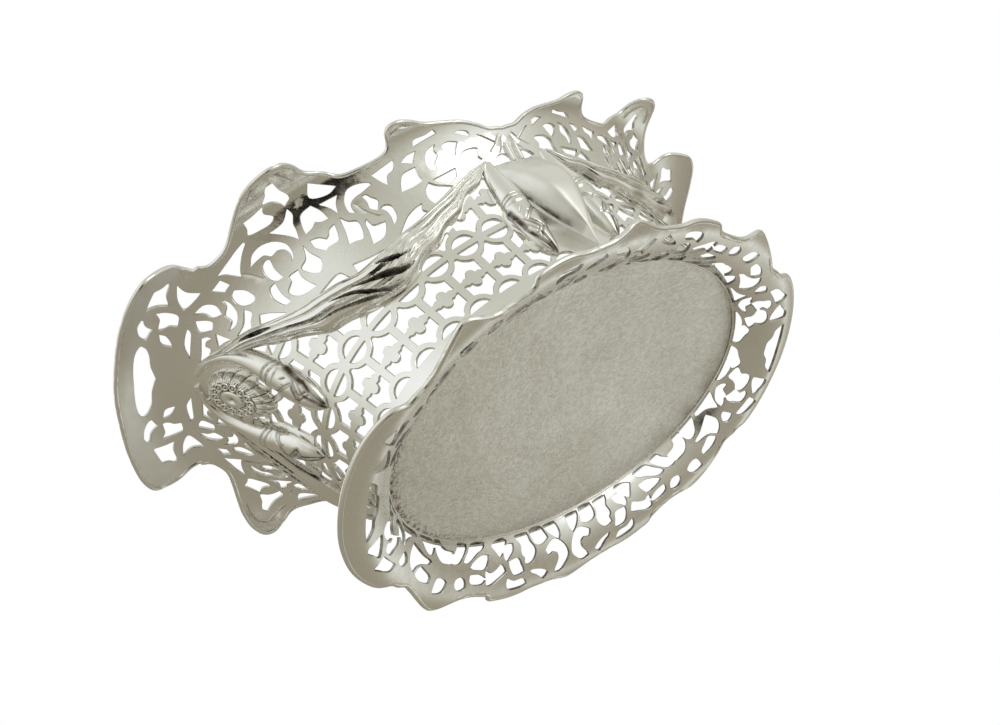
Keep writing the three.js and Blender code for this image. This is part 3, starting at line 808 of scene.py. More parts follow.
class PointNodes(Nodes):
    """Geometry Nodes that make a piece on points, with named inputs for its sizes."""

    prefix = "GeometryNode"

    def __init__(self, name: str, **sizes: str) -> None:
        """Start the tree.

        Args:
            name: Its name.
            sizes: The kind of each size that it takes.
        """
        super().__init__(bpy.data.node_groups.new(name, "GeometryNodeTree"))
        face = self.tree.interface
        face.new_socket("Points", in_out="INPUT", socket_type="NodeSocketGeometry")
        self.sockets = {key: face.new_socket(key, in_out="INPUT",
                                             socket_type="NodeSocket" + kind).identifier
                        for key, kind in {**sizes, "Finish": "Material"}.items()}
        face.new_socket("Piece", in_out="OUTPUT", socket_type="NodeSocketGeometry")
        self.given = self.node("NodeGroupInput").outputs

    def close(self, made: Socket) -> None:
        """End the tree.

        Args:
            made: What it has made.
        """
        real = self.node("RealizeInstances", {"Geometry": made})
        dress = self.node("SetMaterial", {"Geometry": real.outputs["Geometry"],
                                          "Material": self.given["Finish"]})
        self.node("NodeGroupOutput", {"Piece": dress.outputs["Geometry"]})

    def run(self, name: str, points: Array, edges: Sequence[tuple[int, int]],
            sizes: dict[str, float], finish: Material, outward: Array | None = None) -> Piece:
        """Put the tree on points and keep what it makes.

        Args:
            name: Name of the piece.
            points: The points, in millimetres.
            edges: Point numbers of each edge between them.
            sizes: Lengths in metres, and counts.
            finish: The piece's material.
            outward: Which way each point faces.

        Returns:
            The piece as a plain mesh object.
        """
        mesh = bpy.data.meshes.new(name + "_points")
        mesh.from_pydata((points * MM).tolist(), edges, [])
        if outward is not None:
            layer = mesh.attributes.new("outward", "FLOAT_VECTOR", "POINT")
            layer.data.foreach_set("vector", outward.astype(np.float32).ravel())
        holder = add_object(name + "_points", mesh)
        modifier = holder.modifiers.new("nodes", "NODES")
        modifier.node_group = self.tree
        for key, value in {**sizes, "Finish": finish}.items():
            modifier[self.sockets[key]] = value
        made = bpy.data.meshes.new_from_object(
            holder.evaluated_get(bpy.context.evaluated_depsgraph_get()))
        made.name = name
        holder.modifiers.clear()
        bpy.data.objects.remove(holder)
        turn_outward(made)
        return finish_piece(name, made, finish)


class WireMaker(PointNodes):
    """Geometry Nodes that lay a round wire along a line of points."""

    def __init__(self) -> None:
        """Build the node tree."""
        super().__init__("wire_along_line", Radius="Float", Step="Float", Sides="Int")
        given = self.given
        line = self.node("MeshToCurve", {"Mesh": given["Points"]})
        even = self.node("ResampleCurve", {"Curve": line.outputs["Curve"],
                                           "Length": given["Step"]}, mode="LENGTH")
        ring = self.node("CurvePrimitiveCircle", {"Radius": given["Radius"],
                                                  "Resolution": given["Sides"]})
        sweep = self.node("CurveToMesh", {"Curve": even.outputs["Curve"], "Fill Caps": True,
                                          "Profile Curve": ring.outputs["Curve"]})
        self.close(sweep.outputs["Mesh"])

    def make(self, name: str, line: Array, radius: float, finish: Material,
             step: float = 0.9, sides: int = 12) -> Piece:
        """Lay a wire right round.

        Args:
            name: Name of the piece.
            line: Points of its middle, in millimetres.
            radius: Half its thickness, in millimetres.
            finish: Its material.
            step: Length of one piece of it, in millimetres.
            sides: Sides of its section.

        Returns:
            The wire.
        """
        edges = [(i, (i + 1) % len(line)) for i in range(len(line))]
        sizes = {"Radius": radius * MM, "Step": step * MM, "Sides": sides}
        return self.run(name, line, edges, sizes, finish)


class BeadSetter(PointNodes):
    """Geometry Nodes that set a small cupped bead on each point of a line, square to the sheet."""

    ball_share = 0.42
    ring_share = 0.76
    wire_share = 0.26

    def __init__(self) -> None:
        """Build the node tree."""
        super().__init__("beads_on_points", Radius="Float", Wire="Float")
        given = self.given
        ring = self.node("CurvePrimitiveCircle", {"Radius": given["Radius"], "Resolution": 20})
        wire = self.node("CurvePrimitiveCircle", {"Radius": given["Wire"], "Resolution": 8})
        collar = self.node("CurveToMesh", {"Curve": ring.outputs["Curve"],
                                           "Profile Curve": wire.outputs["Curve"]})
        share = self.node("ShaderNodeMath", {0: given["Radius"], 1: self.ball_share},
                          operation="MULTIPLY")
        ball = self.node("MeshUVSphere", {"Segments": 14, "Rings": 8, "Radius": share.outputs[0]})
        join = self.node("JoinGeometry", {0: collar.outputs["Mesh"]})
        self.tree.links.new(ball.outputs["Mesh"], join.inputs[0])
        outward = self.node("InputNamedAttribute", {"Name": "outward"}, data_type="FLOAT_VECTOR")
        turn = self.node("FunctionNodeAlignRotationToVector",
                         {"Vector": outward.outputs["Attribute"]}, axis="Z")
        put = self.node("InstanceOnPoints", {"Points": given["Points"], "Instance": join.outputs[0],
                                             "Rotation": turn.outputs["Rotation"]})
        self.close(put.outputs["Instances"])

    def make(self, name: str, spots: Array, outward: Array, radius: float,
             finish: Material) -> Piece:
        """Set a bead of a radius in millimetres at each spot, facing outward, as one piece."""
        sizes = {"Radius": radius * self.ring_share * MM, "Wire": radius * self.wire_share * MM}
        return self.run(name, spots, [], sizes, finish, outward)


# ---- pierced sheets ------------------------------------------------------------------------------

HONEYCOMB = 0.866  # distance between rows of a honeycomb with corners 1 apart


@dataclass
class PiercedSheet:
    """A sheet with a shaped edge, sawn through with openings, alike in both halves."""

    name: str
    surface: CurvedSheet
    edge: Array
    openings: list[Array]
    covers: list[Array] = field(default_factory=list)
    thickness: float = 1.1
    chamfer: float = 0.13
    spacing: float = 1.7
    clearance: float = 0.5
    chamfer_both: bool = False
    grooves: list[Array] = field(default_factory=list)
    groove_half: float = 0.34
    groove_depth: float = 0.20
    groove_link: float = 2.5
    # how dark chased lines and saw-cut side walls are painted: partly tarnish, partly painted shade
    groove_tarnish_shade: float = 0.5
    cut_tarnish_shade: float = 0.55

    @property
    def outline(self) -> Array:
        """The half ring's outline.

        Returns:
            The inner edge, a seam, the shaped edge and the other seam, as (u, s).
        """
        half = self.surface.half_turn / 2
        top = float(self.edge[-1, 1])
        rows = max(2, round(top * self.surface.flat[1] / self.spacing)) + 1
        columns = round(2 * half * self.surface.flat[0] / self.spacing) + 1
        side = np.linspace(0, top, rows)
        seam = np.stack([np.full(rows, half), side], 1)
        inner = np.stack([np.linspace(-half, half, columns), np.zeros(columns)], 1)
        parts = (inner, seam, self.edge[::-1], (seam * (-1, 1))[::-1])
        return np.vstack([part[:-1] for part in parts])

    @cached_property
    def groove_lines(self) -> list[Array]:
        """The chased lines, flat.

        Returns:
            The middle and both sides of each line, in millimetres.
        """
        flat, half = self.surface.flat, self.groove_half
        return [line * flat for groove in self.grooves
                for line in (groove, offset_line(groove, flat, half, False),
                             offset_line(groove, flat, -half, False)) if len(line) > 1]

    def groove_share(self, points: Array) -> Array:
        """How deep flat points lie in a chased line.

        Args:
            points: The points, in millimetres.

        Returns:
            A share from 0 to 1 for each.
        """
        if not self.grooves:
            return np.zeros(len(points))
        near = nearest(points, np.vstack(self.grooves) * self.surface.flat)
        return np.clip(1 - near / self.groove_half, 0, 1)

    def spots(self, loops: list[Array]) -> Array:
        """Corners between the outlines, laid like honeycomb.

        Args:
            loops: Outlines, flat, in millimetres.

        Returns:
            Points in the metal that keep clear of every line.
        """
        low, high = loops[0].min(0), loops[0].max(0)
        rows = np.arange(low[1], high[1], self.spacing * HONEYCOMB)
        x, y = np.meshgrid(np.arange(low[0], high[0], self.spacing), rows)
        x = x + (np.arange(len(rows)) % 2)[:, None] * self.spacing / 2
        spots = np.stack([x.ravel(), y.ravel()], 1)
        spots = spots[self.in_metal(spots, loops)]
        clear = nearest(spots, np.vstack([*loops, *self.groove_lines]))
        return spots[clear > self.clearance * self.spacing]

    def in_metal(self, points: Array, loops: list[Array]) -> Array:
        """Whether flat points lie in the metal.

        Args:
            points: The points, in millimetres.
            loops: The outline first, then openings, then the covers that close them.

        Returns:
            True for each point in the metal.
        """
        openings = len(self.openings)
        open_here = np.zeros(len(points), bool)
        for loop in loops[1:1 + openings]:
            open_here |= inside(points, loop)
        for loop in loops[1 + openings:]:
            open_here &= ~inside(points, loop)
        return inside(points, loops[0]) & ~open_here

    def half_pattern(self) -> tuple[Array, Array]:
        """Cut the half ring flat.

        Returns:
            Its corners as (u, s), and its triangles.
        """
        flat = np.array(self.surface.flat)
        loops = [loop * flat for loop in (self.outline, *self.openings, *self.covers)]
        corners = np.vstack([*loops, *self.groove_lines, self.spots(loops)])
        edges: list[tuple[int, int]] = []
        start = 0
        for loop in loops:
            count = len(loop)
            edges += [(start + i, start + (i + 1) % count) for i in range(count)]
            start += count
        for line in self.groove_lines:
            gaps = np.linalg.norm(np.diff(line, axis=0), axis=1)
            links = np.flatnonzero(gaps < self.groove_link).tolist()
            edges += [(start + i, start + i + 1) for i in links]
            start += len(line)
        made = delaunay_2d_cdt([Vector(p) for p in corners.tolist()], edges, [], 0, 1e-5, False)
        points = np.array([tuple(p) for p in made[0]])
        triangles = np.array([f for f in made[2] if len(f) == 3])
        a, b, c = (points[triangles[:, i]] for i in range(3))
        area = (b[:, 0] - a[:, 0]) * (c[:, 1] - a[:, 1]) - (b[:, 1] - a[:, 1]) * (c[:, 0] - a[:, 0])
        triangles[area < 0] = triangles[area < 0][:, ::-1]
        keep = self.in_metal((a + b + c) / 3, loops) & (np.abs(area) > 1e-7)
        return points / flat, triangles[keep]

    def ring_pattern(self) -> tuple[Array, Array]:
        """Join the half and its twin to the whole ring.

        Returns:
            Its corners as (u, s), and its triangles.
        """
        points, triangles = self.half_pattern()
        turn = self.surface.half_turn
        whole = np.vstack([points, points + (turn, 0)])
        key = np.stack([np.round(np.mod(whole[:, 0] + 1e-6, 2 * turn), 4),
                        np.round(whole[:, 1], 5)], 1)
        _, first, where = np.unique(key, axis=0, return_index=True, return_inverse=True)
        both = where.ravel()[np.vstack([triangles, triangles + len(points)])]
        used, compact = np.unique(both, return_inverse=True)
        return whole[first[used]], compact.reshape(both.shape)

    def build(self, finish: Material) -> Piece:
        """Thicken the pattern on its curved place.

        Args:
            finish: The sheet's material.

        Returns:
            The closed sheet.
        """
        spots, triangles = self.ring_pattern()
        if self.surface.facing < 0:
            triangles = triangles[:, ::-1]
        u, s = spots.T
        half, cut, count = self.thickness / 2, self.chamfer, len(spots)
        edges = np.vstack([triangles[:, [i, (i + 1) % 3]] for i in range(3)]).astype(np.int64)
        a, b = edges.T
        rim = edges[~np.isin(a * count + b, b * count + a)]
        a, b = rim.T
        normal, middle = self.surface.axes(u, s)[2], self.surface.middle(u, s)
        inward = np.zeros_like(middle)
        for end in (a, b):
            np.add.at(inward, end, np.cross(normal[end], middle[b] - middle[a]))
        length = np.linalg.norm(inward, axis=1, keepdims=True)
        inward = np.divide(inward, length, out=np.zeros_like(inward), where=length > 1e-9)
        on_rim = np.unique(rim)
        number = np.zeros(count, int)
        number[on_rim] = np.arange(len(on_rim))
        turn = self.surface.half_turn
        home = np.where(u > turn / 2 + 1e-6, u - turn, u)
        sunk = self.groove_share(np.stack([home, s], 1) * self.surface.flat)
        layers = [middle + normal * (half - sunk * self.groove_depth)[:, None] + inward * cut,
                  middle - normal * half + inward * (cut if self.chamfer_both else 0),
                  (middle + normal * (half - cut))[on_rim]]
        faces = [*triangles.tolist(), *(triangles[:, ::-1] + count).tolist()]
        upper_a, upper_b = 2 * count + number[a], 2 * count + number[b]
        lower_a, lower_b = a + count, b + count
        faces += np.stack([upper_a, upper_b, b, a], 1).tolist()
        if self.chamfer_both:
            layers.append((middle - normal * (half - cut))[on_rim])
            shelf_a, shelf_b = upper_a + len(on_rim), upper_b + len(on_rim)
            faces += np.stack([lower_a, lower_b, shelf_b, shelf_a], 1).tolist()
            lower_a, lower_b = shelf_a, shelf_b
        faces += np.stack([lower_a, lower_b, upper_b, upper_a], 1).tolist()
        # painted shade with tarnish: full on the cut edges, in the chased lines of the outer face,
        # none on the inner face
        tarnish_shade = np.full(sum(map(len, layers)), self.cut_tarnish_shade)
        tarnish_shade[:count], tarnish_shade[count:2 * count] = sunk * self.groove_tarnish_shade, 0.0
        return make_piece(self.name, np.vstack(layers), faces, finish, {"recess": tarnish_shade})


def edge_path(surface: CurvedSheet, edge: Array, inset: float, lift: float) -> Array:
    """The line of a wire that follows a shaped edge right round.

    Args:
        surface: The sheet it lies on.
        edge: The edge of one half, as (u, s).
        inset: How far in from the edge.
        lift: How far off the sheet's middle.

    Returns:
        Points in millimetres.
    """
    half = edge[:-1]
    u, s = np.vstack([half, half + (surface.half_turn, 0)]).T
    across_u, across_s, _ = surface.axes(u, s)
    spots = surface.at(u, s, lift)
    run = np.roll(spots, -1, 0) - np.roll(spots, 1, 0)
    return spots + unit(np.cross(run, np.cross(across_u, across_s))) * inset


# ---- the pattern sawn in the wall ----------------------------------------------------------------

# every outline is drawn as (u, s) over one quarter: circles from the middle of the end, share of
# the height

RIM_LINE: Pairs = (
    (0, 1.135), (.5, 1.14), (1, 1.17), (1.5, 1.20), (1.7, 1.19), (1.85, 1.14), (2.0, 1.05),
    (2.02, .95), (2.04, .885), (2.1, .885), (2.16, .85), (2.25, .83), (2.5, .825), (2.7, .845),
    (3, .91), (3.3, 1.0), (3.6, 1.1), (3.9, 1.17), (4.15, 1.19), (4.35, 1.17), (4.55, 1.08),
    (4.7, .96), (5, .88), (5.3, .80), (5.7, .785), (6.2, .79), (6.4, .81), (6.5, .86), (6.55, .95),
    (6.65, .99), (6.85, 1.0), (7.1, .97), (7.5, .90), (8, .86), (8.4, .83), (8.8, .78), (9.1, .735),
    (9.4, .725), (9.5, .72))

VASE_SLOT: Pairs = (
    (0, 1.012), (.5, 1.015), (.62, .99), (.6, .97), (.55, .945), (.42, .92), (.23, .907),
    (.12, .893), (0, .877))

END_PANEL: tuple[Pairs, ...] = (
    ((.733, .957), (.822, 1.02), (.955, 1.049), (1.06, 1.04), (1.044, 1.016), (.955, .992),
     (.885, .933), (.844, .945)),
    ((1.222, 1.035), (1.533, 1.047), (1.62, 1.004), (1.70, .988), (1.678, .965), (1.489, .945),
     (1.33, .902), (1.30, .965)),
    ((.6, .8), (.644, .863), (.804, .89), (.778, .847), (.667, .812)),
    ((.9, .906), (1.055, .914), (1.167, .957), (1.204, .886), (1.156, .816), (.989, .804),
     (.967, .847), (.922, .863)),
    ((1.322, .804), (1.444, .863), (1.7, .922), (1.629, .847), (1.70, .773), (1.489, .784)),
    ((.422, .702), (.644, .741), (.978, .751), (.933, .729), (.644, .71)),
    ((.2, .651), (.556, .655), (.867, .673), (.944, .647), (.933, .624), (.844, .647), (.744, .643),
     (.733, .62), (.678, .616)),
    ((.822, .59), (1.067, .62), (1.078, .55), (.955, .573)),
    ((.989, .69), (1.167, .73), (1.256, .65), (1.1, .639)),
    ((1.289, .749), (1.489, .73), (1.589, .675), (1.489, .631), (1.344, .659), (1.367, .698)),
    ((1.489, .616), (1.667, .631), (1.751, .667), (1.756, .62), (1.622, .573), (1.4, .557),
     (1.233, .573), (1.444, .58)),
    ((1.2, .533), (1.489, .533), (1.778, .563), (1.811, .529), (1.622, .514), (1.511, .5)),
    ((1.811, .729), (2.067, .729), (2.084, .678), (1.9, .675)),
    ((1.822, .58), (1.9, .639), (2.022, .647), (2.144, .604), (2.122, .553), (2.01, .549)),
    ((1.656, .475), (1.844, .5), (1.956, .482), (2.233, .424), (2.02, .427)),
    ((.978, .486), (1.178, .463), (1.356, .42), (1.055, .416)),
)

CORNER_PANEL: tuple[Pairs, ...] = (
    ((2.11, .753), (2.5, .765), (2.64, .773), (2.91, .784), (2.93, .773), (2.756, .745),
     (2.42, .682), (2.333, .659), (2.267, .698), (2.2, .733)),
    ((2.6, .659), (2.82, .698), (3.04, .704), (3.267, .682), (3.42, .635), (3.4, .588),
     (3.31, .557), (3.22, .549), (3.33, .58), (3.32, .612), (3.2, .631), (3.04, .627),
     (2.956, .655), (2.84, .659)),
    ((2.744, .62), (2.867, .631), (2.944, .624), (2.856, .573), (2.833, .525), (2.7, .529),
     (2.622, .561)),
    ((2.622, .533), (2.467, .533), (2.333, .502), (2.322, .471), (2.378, .443), (2.507, .439),
     (2.511, .478), (2.567, .51)),
    ((2.622, .467), (2.867, .49), (2.911, .51), (3.167, .506), (3.1, .482), (3.09, .451),
     (3.156, .412), (2.933, .416), (2.711, .431)),
    ((2.978, .38), (3.267, .388), (3.733, .392), (3.778, .369), (3.844, .353), (3.444, .353),
     (3.178, .365)),
    ((4.089, .388), (4.422, .376), (4.956, .365), (4.42, .349), (4.022, .349)),
    ((3.233, .502), (3.444, .518), (3.644, .573), (3.622, .533), (3.678, .478), (3.578, .455),
     (3.444, .441), (3.31, .459)),
    ((3.378, .725), (3.711, .729), (3.978, .784), (3.978, .737), (3.844, .69), (3.789, .651),
     (3.689, .608), (3.622, .643)),
    ((3.089, .792), (3.167, .831), (3.211, .882), (3.4, .882), (3.667, .894), (3.589, .847),
     (3.678, .792), (3.533, .767), (3.31, .773)),
    ((3.911, 1.004), (3.978, 1.027), (4.1, 1.027), (4.116, .941), (4.167, .843), (3.989, .808),
     (3.944, .855), (3.844, .886), (3.7, .902), (3.844, .957)),
    ((3.867, .608), (3.956, .659), (4.11, .71), (4.378, .722), (4.467, .667), (4.478, .612),
     (4.31, .616), (4.2, .634), (4.067, .616)),
    ((3.833, .573), (4, .561), (4.11, .535), (4.222, .545), (4.31, .565), (4.478, .573),
     (4.378, .525), (4.267, .498), (4.022, .5), (3.911, .494), (3.789, .533)),
    ((4.667, .584), (4.756, .549), (4.911, .529), (4.867, .486), (4.711, .447), (4.578, .455),
     (4.378, .459), (4.533, .51)),
    ((4.522, .702), (4.967, .698), (4.822, .659), (4.711, .608), (4.644, .659)),
    ((4.633, .863), (4.822, .808), (5.067, .749), (4.867, .729), (4.644, .737), (4.478, .765)),
    ((4.922, .58), (4.956, .627), (5.067, .667), (5.222, .698), (5.444, .7), (5.711, .675),
     (5.733, .659), (5.444, .643), (5.222, .635), (5.067, .616), (5.022, .588), (5.03, .565)),
    ((5.344, .549), (5.389, .58), (5.378, .624), (5.478, .624), (5.533, .6), (5.622, .569),
     (5.533, .541), (5.456, .524)),
    ((5.533, .525), (5.644, .532), (5.778, .518), (5.767, .478), (5.667, .447), (5.522, .431),
     (5.6, .471), (5.6, .502)),
    ((4.8, .406), (4.95, .46), (5.02, .5), (5.1, .515), (5.11, .49), (5.13, .475), (5.42, .464),
     (5.29, .431), (5.11, .408)),
    ((5.4, .378), (5.667, .408), (5.956, .439), (6.244, .455), (6.422, .459), (6.333, .431),
     (6.467, .404), (6.067, .388)),
)

SIDE_PANEL: tuple[Pairs, ...] = (
    ((5.844, .706), (6.111, .718), (6.467, .737), (6.356, .682), (6.178, .667), (6.044, .612),
     (5.978, .635)),
    ((6.6, .698), (6.778, .725), (7.044, .733), (6.844, .667)),
    ((6.211, .549), (6.333, .596), (6.511, .635), (6.844, .643), (6.8, .604), (6.822, .557),
     (6.511, .547)),
    ((6.644, .467), (6.733, .51), (6.911, .537), (7.044, .51), (7.244, .49), (7.4, .475), (7, .447),
     (6.689, .431)),
    ((7.111, .627), (7.178, .675), (7.311, .71), (7.556, .729), (7.467, .698), (7.5, .659),
     (7.333, .62), (7.289, .573), (7.133, .596)),
    ((7.044, .541), (7.4, .549), (7.733, .557), (7.622, .51), (7.333, .498), (7.133, .518)),
    ((7.044, .765), (7.111, .808), (7.4, .812), (7.644, .831), (7.7, .796), (7.422, .784)),
    ((7.7, .706), (7.889, .718), (8.133, .698), (8.022, .659), (7.911, .62), (7.711, .659)),
    ((8, .604), (8.156, .631), (8.444, .635), (8.578, .624), (8.489, .58), (8.556, .557),
     (8.267, .533), (7.911, .51), (7.978, .557)),
    ((8.133, .761), (8.267, .767), (8.489, .745), (8.5, .706), (8.333, .729)),
    ((8.689, .71), (8.844, .69), (9.022, .659), (9.133, .635), (9.133, .624), (8.978, .651)),
    ((8.844, .522), (9.022, .553), (9.222, .557), (9.34, .533), (9.42, .515), (9.3, .5),
     (9.022, .511)),
)

SWAG_UPPER: Pairs = (
    (.3, .645), (.5, .615), (1, .555), (1.5, .50), (2, .44), (2.5, .40), (3, .38), (3.5, .365),
    (4, .345), (4.5, .35), (5, .36), (5.5, .375), (6, .39), (6.5, .41), (7, .435), (7.5, .47),
    (8, .51), (8.5, .535))

SWAG_LOWER: Pairs = (
    (.3, .61), (.5, .57), (.8, .51), (1, .48), (1.35, .42), (1.5, .39), (2, .33), (2.5, .27),
    (3, .25), (3.5, .225), (4, .213), (4.5, .21), (5, .225), (5.5, .255), (6, .27), (6.5, .31),
    (7, .337), (7.5, .4), (8, .43), (8.3, .48), (8.5, .515))

SWAG_MIDDLE: Pairs = (
    (.3, .628), (1, .517), (1.5, .445), (2, .385), (2.5, .335), (3, .315), (4, .279), (5, .292),
    (6, .33), (7, .386), (7.5, .435), (8, .47), (8.5, .515), (9.5, .515))

CHASED_LINES: tuple[Pairs, ...] = (
    ((3.55, 1.02), (3.75, 1.08), (3.95, 1.115), (4.15, 1.11), (4.3, 1.04), (4.42, .95)),
    ((2.28, .72), (2.4, .665), (2.5, .62), (2.56, .58)),
    ((4.2, .76), (4.3, .80), (4.4, .81), (4.5, .795)),
    ((5.15, .60), (5.2, .56), (5.3, .52), (5.38, .50)),
    ((9.36, .655), (9.25, .60), (9.12, .565)), ((9.24, .665), (9.08, .62), (8.9, .59)),
    ((6.7, .93), (6.85, .945), (7.0, .93)),
)

HIDDEN_SHARE = 0.8  # a lattice opening hidden further than this is left out


@dataclass
class Lattice:
    """The rows of barred circles and small crosses sawn in the lower wall."""

    wall: WallSheet
    row_pitch: float = 21.9
    bar: float = 2.1
    link: float = 2.6
    ring: float = 1.65
    squash: float = 0.94
    arm: float = 0.95
    top_lobe: tuple[float, float] = (1.56, 1.63)
    side_lobe: tuple[float, float] = (2.47, 1.5)
    cusp: float = 2.2
    lowest: float = 12.9
    reach: int = 9

    @cached_property
    def circle(self) -> tuple[Array, Array]:
        """The opening above the bar of a circle.

        Returns:
            The x and y of its outline, in millimetres from the circle's middle.
        """
        radius = self.wall.pitch / 2 - self.ring
        start = math.asin(self.bar / 2 / radius)
        arc = np.linspace(start, math.pi - start, 17)
        side = np.linspace(-radius * math.cos(start), radius * math.cos(start), 8)[1:-1]
        y = np.concatenate([radius * np.sin(arc), np.full(6, self.bar / 2)]) * self.squash
        return np.concatenate([radius * np.cos(arc), side]), y

    @cached_property
    def cross(self) -> tuple[Array, Array]:
        """The opening above a small cross.

        Returns:
            The x and y of its outline, in millimetres from the cross's middle.
        """
        radius = self.wall.pitch / 2
        side = radius - self.link / 2
        x = np.linspace(-side, side, 31)
        low = np.full_like(x, self.arm)
        arm_x, arm_size = self.side_lobe
        for middle_x, middle_y, size in ((0.0, *self.top_lobe), (-arm_x, 0.0, arm_size),
                                         (arm_x, 0.0, arm_size)):
            reach = np.maximum(size**2 - (x - middle_x) ** 2, 0)
            low = np.maximum(low, np.where(reach > 0, middle_y + np.sqrt(reach), 0))
        over = np.linspace(side, -side, 17)
        high = self.row_pitch / 2 - np.sqrt(np.maximum(radius**2 - (radius - np.abs(over)) ** 2, 0))
        high = np.minimum(high, self.row_pitch / 2 - self.cusp)
        return np.concatenate([x, over]), np.concatenate([low, high])

    def pair(self, shape: tuple[Array, Array], u: float, height: float,
             lean: float = 1.0) -> list[Array]:
        """An opening and its twin below, held above the floor.

        Args:
            shape: The upper opening.
            u: Middle of the pair.
            height: Its height.
            lean: How much narrower the pair is where the wall is shorter.

        Returns:
            The outlines of the lower and the upper opening, as (u, s).
        """
        found = []
        for sign in (-1, 1):
            place = u + sign * shape[0] / self.wall.pitch * lean
            level = np.maximum(height + sign * shape[1], self.lowest)
            found.append(np.stack([place, self.wall.height(place, level)], 1))
        return found

    def openings(self) -> list[Array]:
        """Saw the lattice of one half of the wall, right and left of the middle.

        Returns:
            The outline of every opening.
        """
        middle, pitch = self.wall.lattice_height, self.wall.pitch
        rows = (middle - self.row_pitch, middle, middle + self.row_pitch)
        found = []
        for u in (side * (count + 0.5) for count in range(self.reach) for side in (-1, 1)):
            for height in rows:
                lean = float(self.wall.shift(u, self.wall.height(u, height), pitch, 0)[0] - u)
                pair = self.pair(self.circle, u, height, min(1.0, lean))
                found += pair[1:] if height == rows[0] else pair
        for u in range(1 - self.reach, self.reach):
            for height in rows[:2]:
                found += self.pair(self.cross, u, height + self.row_pitch / 2)
        return found


def trimmed(loop: Array, covers: list[Array]) -> Array | None:
    """Stop a lattice opening under the swags and the other reliefs.

    Args:
        loop: The opening's outline.
        covers: The outlines of the reliefs.

    Returns:
        The opening up to the middle of the swag, or nothing where a relief hides it.
    """
    u, s = loop.T
    places, levels = zip((0, 0.5), *SWAG_MIDDLE)
    top = np.interp(np.abs(u), places, levels)
    loop = np.stack([u, np.minimum(s, top)], 1)
    hidden = s >= top
    for cover in covers:
        hidden |= inside(loop, cover)
    return None if hidden.mean() > HIDDEN_SHARE else loop


def smooth_openings(panels: Sequence[Pairs | Array], surface: CurvedSheet) -> list[Array]:
    """Return smooth outlines of openings, each with its twin beyond the middle of the end."""
    lines = [smooth_line(panel, surface.flat) for panel in panels]
    return [twin for line in lines for twin in (line, line * (-1, 1))]


# ---- the bowl ------------------------------------------------------------------------------------

@dataclass
class Bowl:
    """The pierced wall, its rim wire, the floor plate and the solder round their seams."""

    wall: WallSheet
    wires: WireMaker
    sheet: float = 1.1
    wire: float = 0.76
    wire_inset: float = 0.42
    wire_lift: float = 0.16
    chased_step: float = 0.6
    floor_low: float = 11.5
    floor_high: float = 12.8
    floor_dent: float = 0.05
    floor_rounding: float = 0.25
    floor_steps: int = 240
    floor_rings: int = 40
    seam_step: float = 1.6
    seams: tuple[tuple[str, float, float, float, float], ...] = (  # half sizes, height, radius
        ("foot_seam", 75.5, 49.8, 11.35, 0.45), ("floor_seam", 75.3, 52.3, 12.7, 0.45),
        ("wall_seam", 76.2, 52.2, 11.4, 0.5))

    @cached_property
    def rim(self) -> Array:
        """Return the rim's line over one half of the wall."""
        return both_sides(open_line(RIM_LINE, self.wall))

    def openings(self) -> list[Array]:
        """Return every opening of the half wall above its lattice."""
        slot = both_sides(open_line(VASE_SLOT, self.wall))[:-1]
        return [slot, *smooth_openings((*END_PANEL, *CORNER_PANEL, *SIDE_PANEL), self.wall)]

    def build_wall(self, covers: list[Array], finish: Material) -> None:
        """Saw the wall out round what is laid on it.

        Args:
            covers: The outlines of the reliefs.
            finish: The wall's material.
        """
        lattice = [trimmed(loop, covers) for loop in Lattice(self.wall).openings()]
        lines = [open_line(line, self.wall, self.chased_step) for line in CHASED_LINES]
        pattern = PiercedSheet("wall_sheet", self.wall, self.rim,
                               self.openings() + [loop for loop in lattice if loop is not None],
                               covers, thickness=self.sheet,
                               grooves=[line * (sign, 1) for line in lines for sign in (1, -1)])
        place_piece(pattern.build(finish), SlotName.POLISHED, "pierced_wall")

    def build_rim(self, finish: Material) -> None:
        """Solder the wire round the mouth.

        Args:
            finish: The wire's material.
        """
        line = edge_path(self.wall, self.rim, self.wire_inset, self.wire_lift)
        place_piece(self.wires.make("rim_wire", line, self.wire, finish), SlotName.POLISHED,
                    "rim_border")

    def build_floor(self, finish: Material) -> None:
        """Lay the oval floor plate, its faces very slightly uneven from the hammer.

        Args:
            finish: The floor's material.
        """
        half_length, half_width = self.wall.floor_half
        steps, rings = self.floor_steps, self.floor_rings
        angle = around(steps)
        shares = [*np.linspace(0.03, 0.96, rings), 0.99, 1.0]
        rounding = [0.0] * (rings + 1) + [self.floor_rounding]
        levels = [(self.floor_low + up, share) for share, up in zip(shares, rounding)]
        levels += [(self.floor_high - down, share) for share, down in zip(shares, rounding)][::-1]
        rows = []
        for level, share in levels:
            x, y = half_length * share * np.cos(angle), half_width * share * np.sin(angle)
            dent = self.floor_dent * np.sin(x / 9 + 1.3 * np.sin(y / 14))
            dent = dent * np.sin(y / 8 + np.sin(x / 17)) * (1 - share ** 8)
            rows.append(np.stack([x, y, level + dent], 1))
        faces = grid_faces(len(rows), steps, wrap=True)
        last = (len(rows) - 1) * steps
        faces += [tuple(range(steps)), tuple(last + i for i in reversed(range(steps)))]
        piece = make_piece("floor_plate", np.vstack(rows), faces, finish, outward=True)
        place_piece(piece, SlotName.BRUSHED, "bowl_floor")

    def build_seams(self, finish: Material) -> None:
        """Run solder round the seams between wall, floor and foot.

        Args:
            finish: The solder's material.
        """
        angle = around(360)
        for name, half_length, half_width, height, radius in self.seams:
            plan = oval_points(half_length, half_width, angle, 0 * angle)
            line = np.column_stack([plan, np.full(len(plan), height)])
            piece = self.wires.make(name, line, radius, finish, sides=10, step=self.seam_step)
            place_piece(piece, SlotName.POLISHED)


# ---- the foot ------------------------------------------------------------------------------------

FOOT_TURN = 0.8
FOOT_SCALE = 0.977

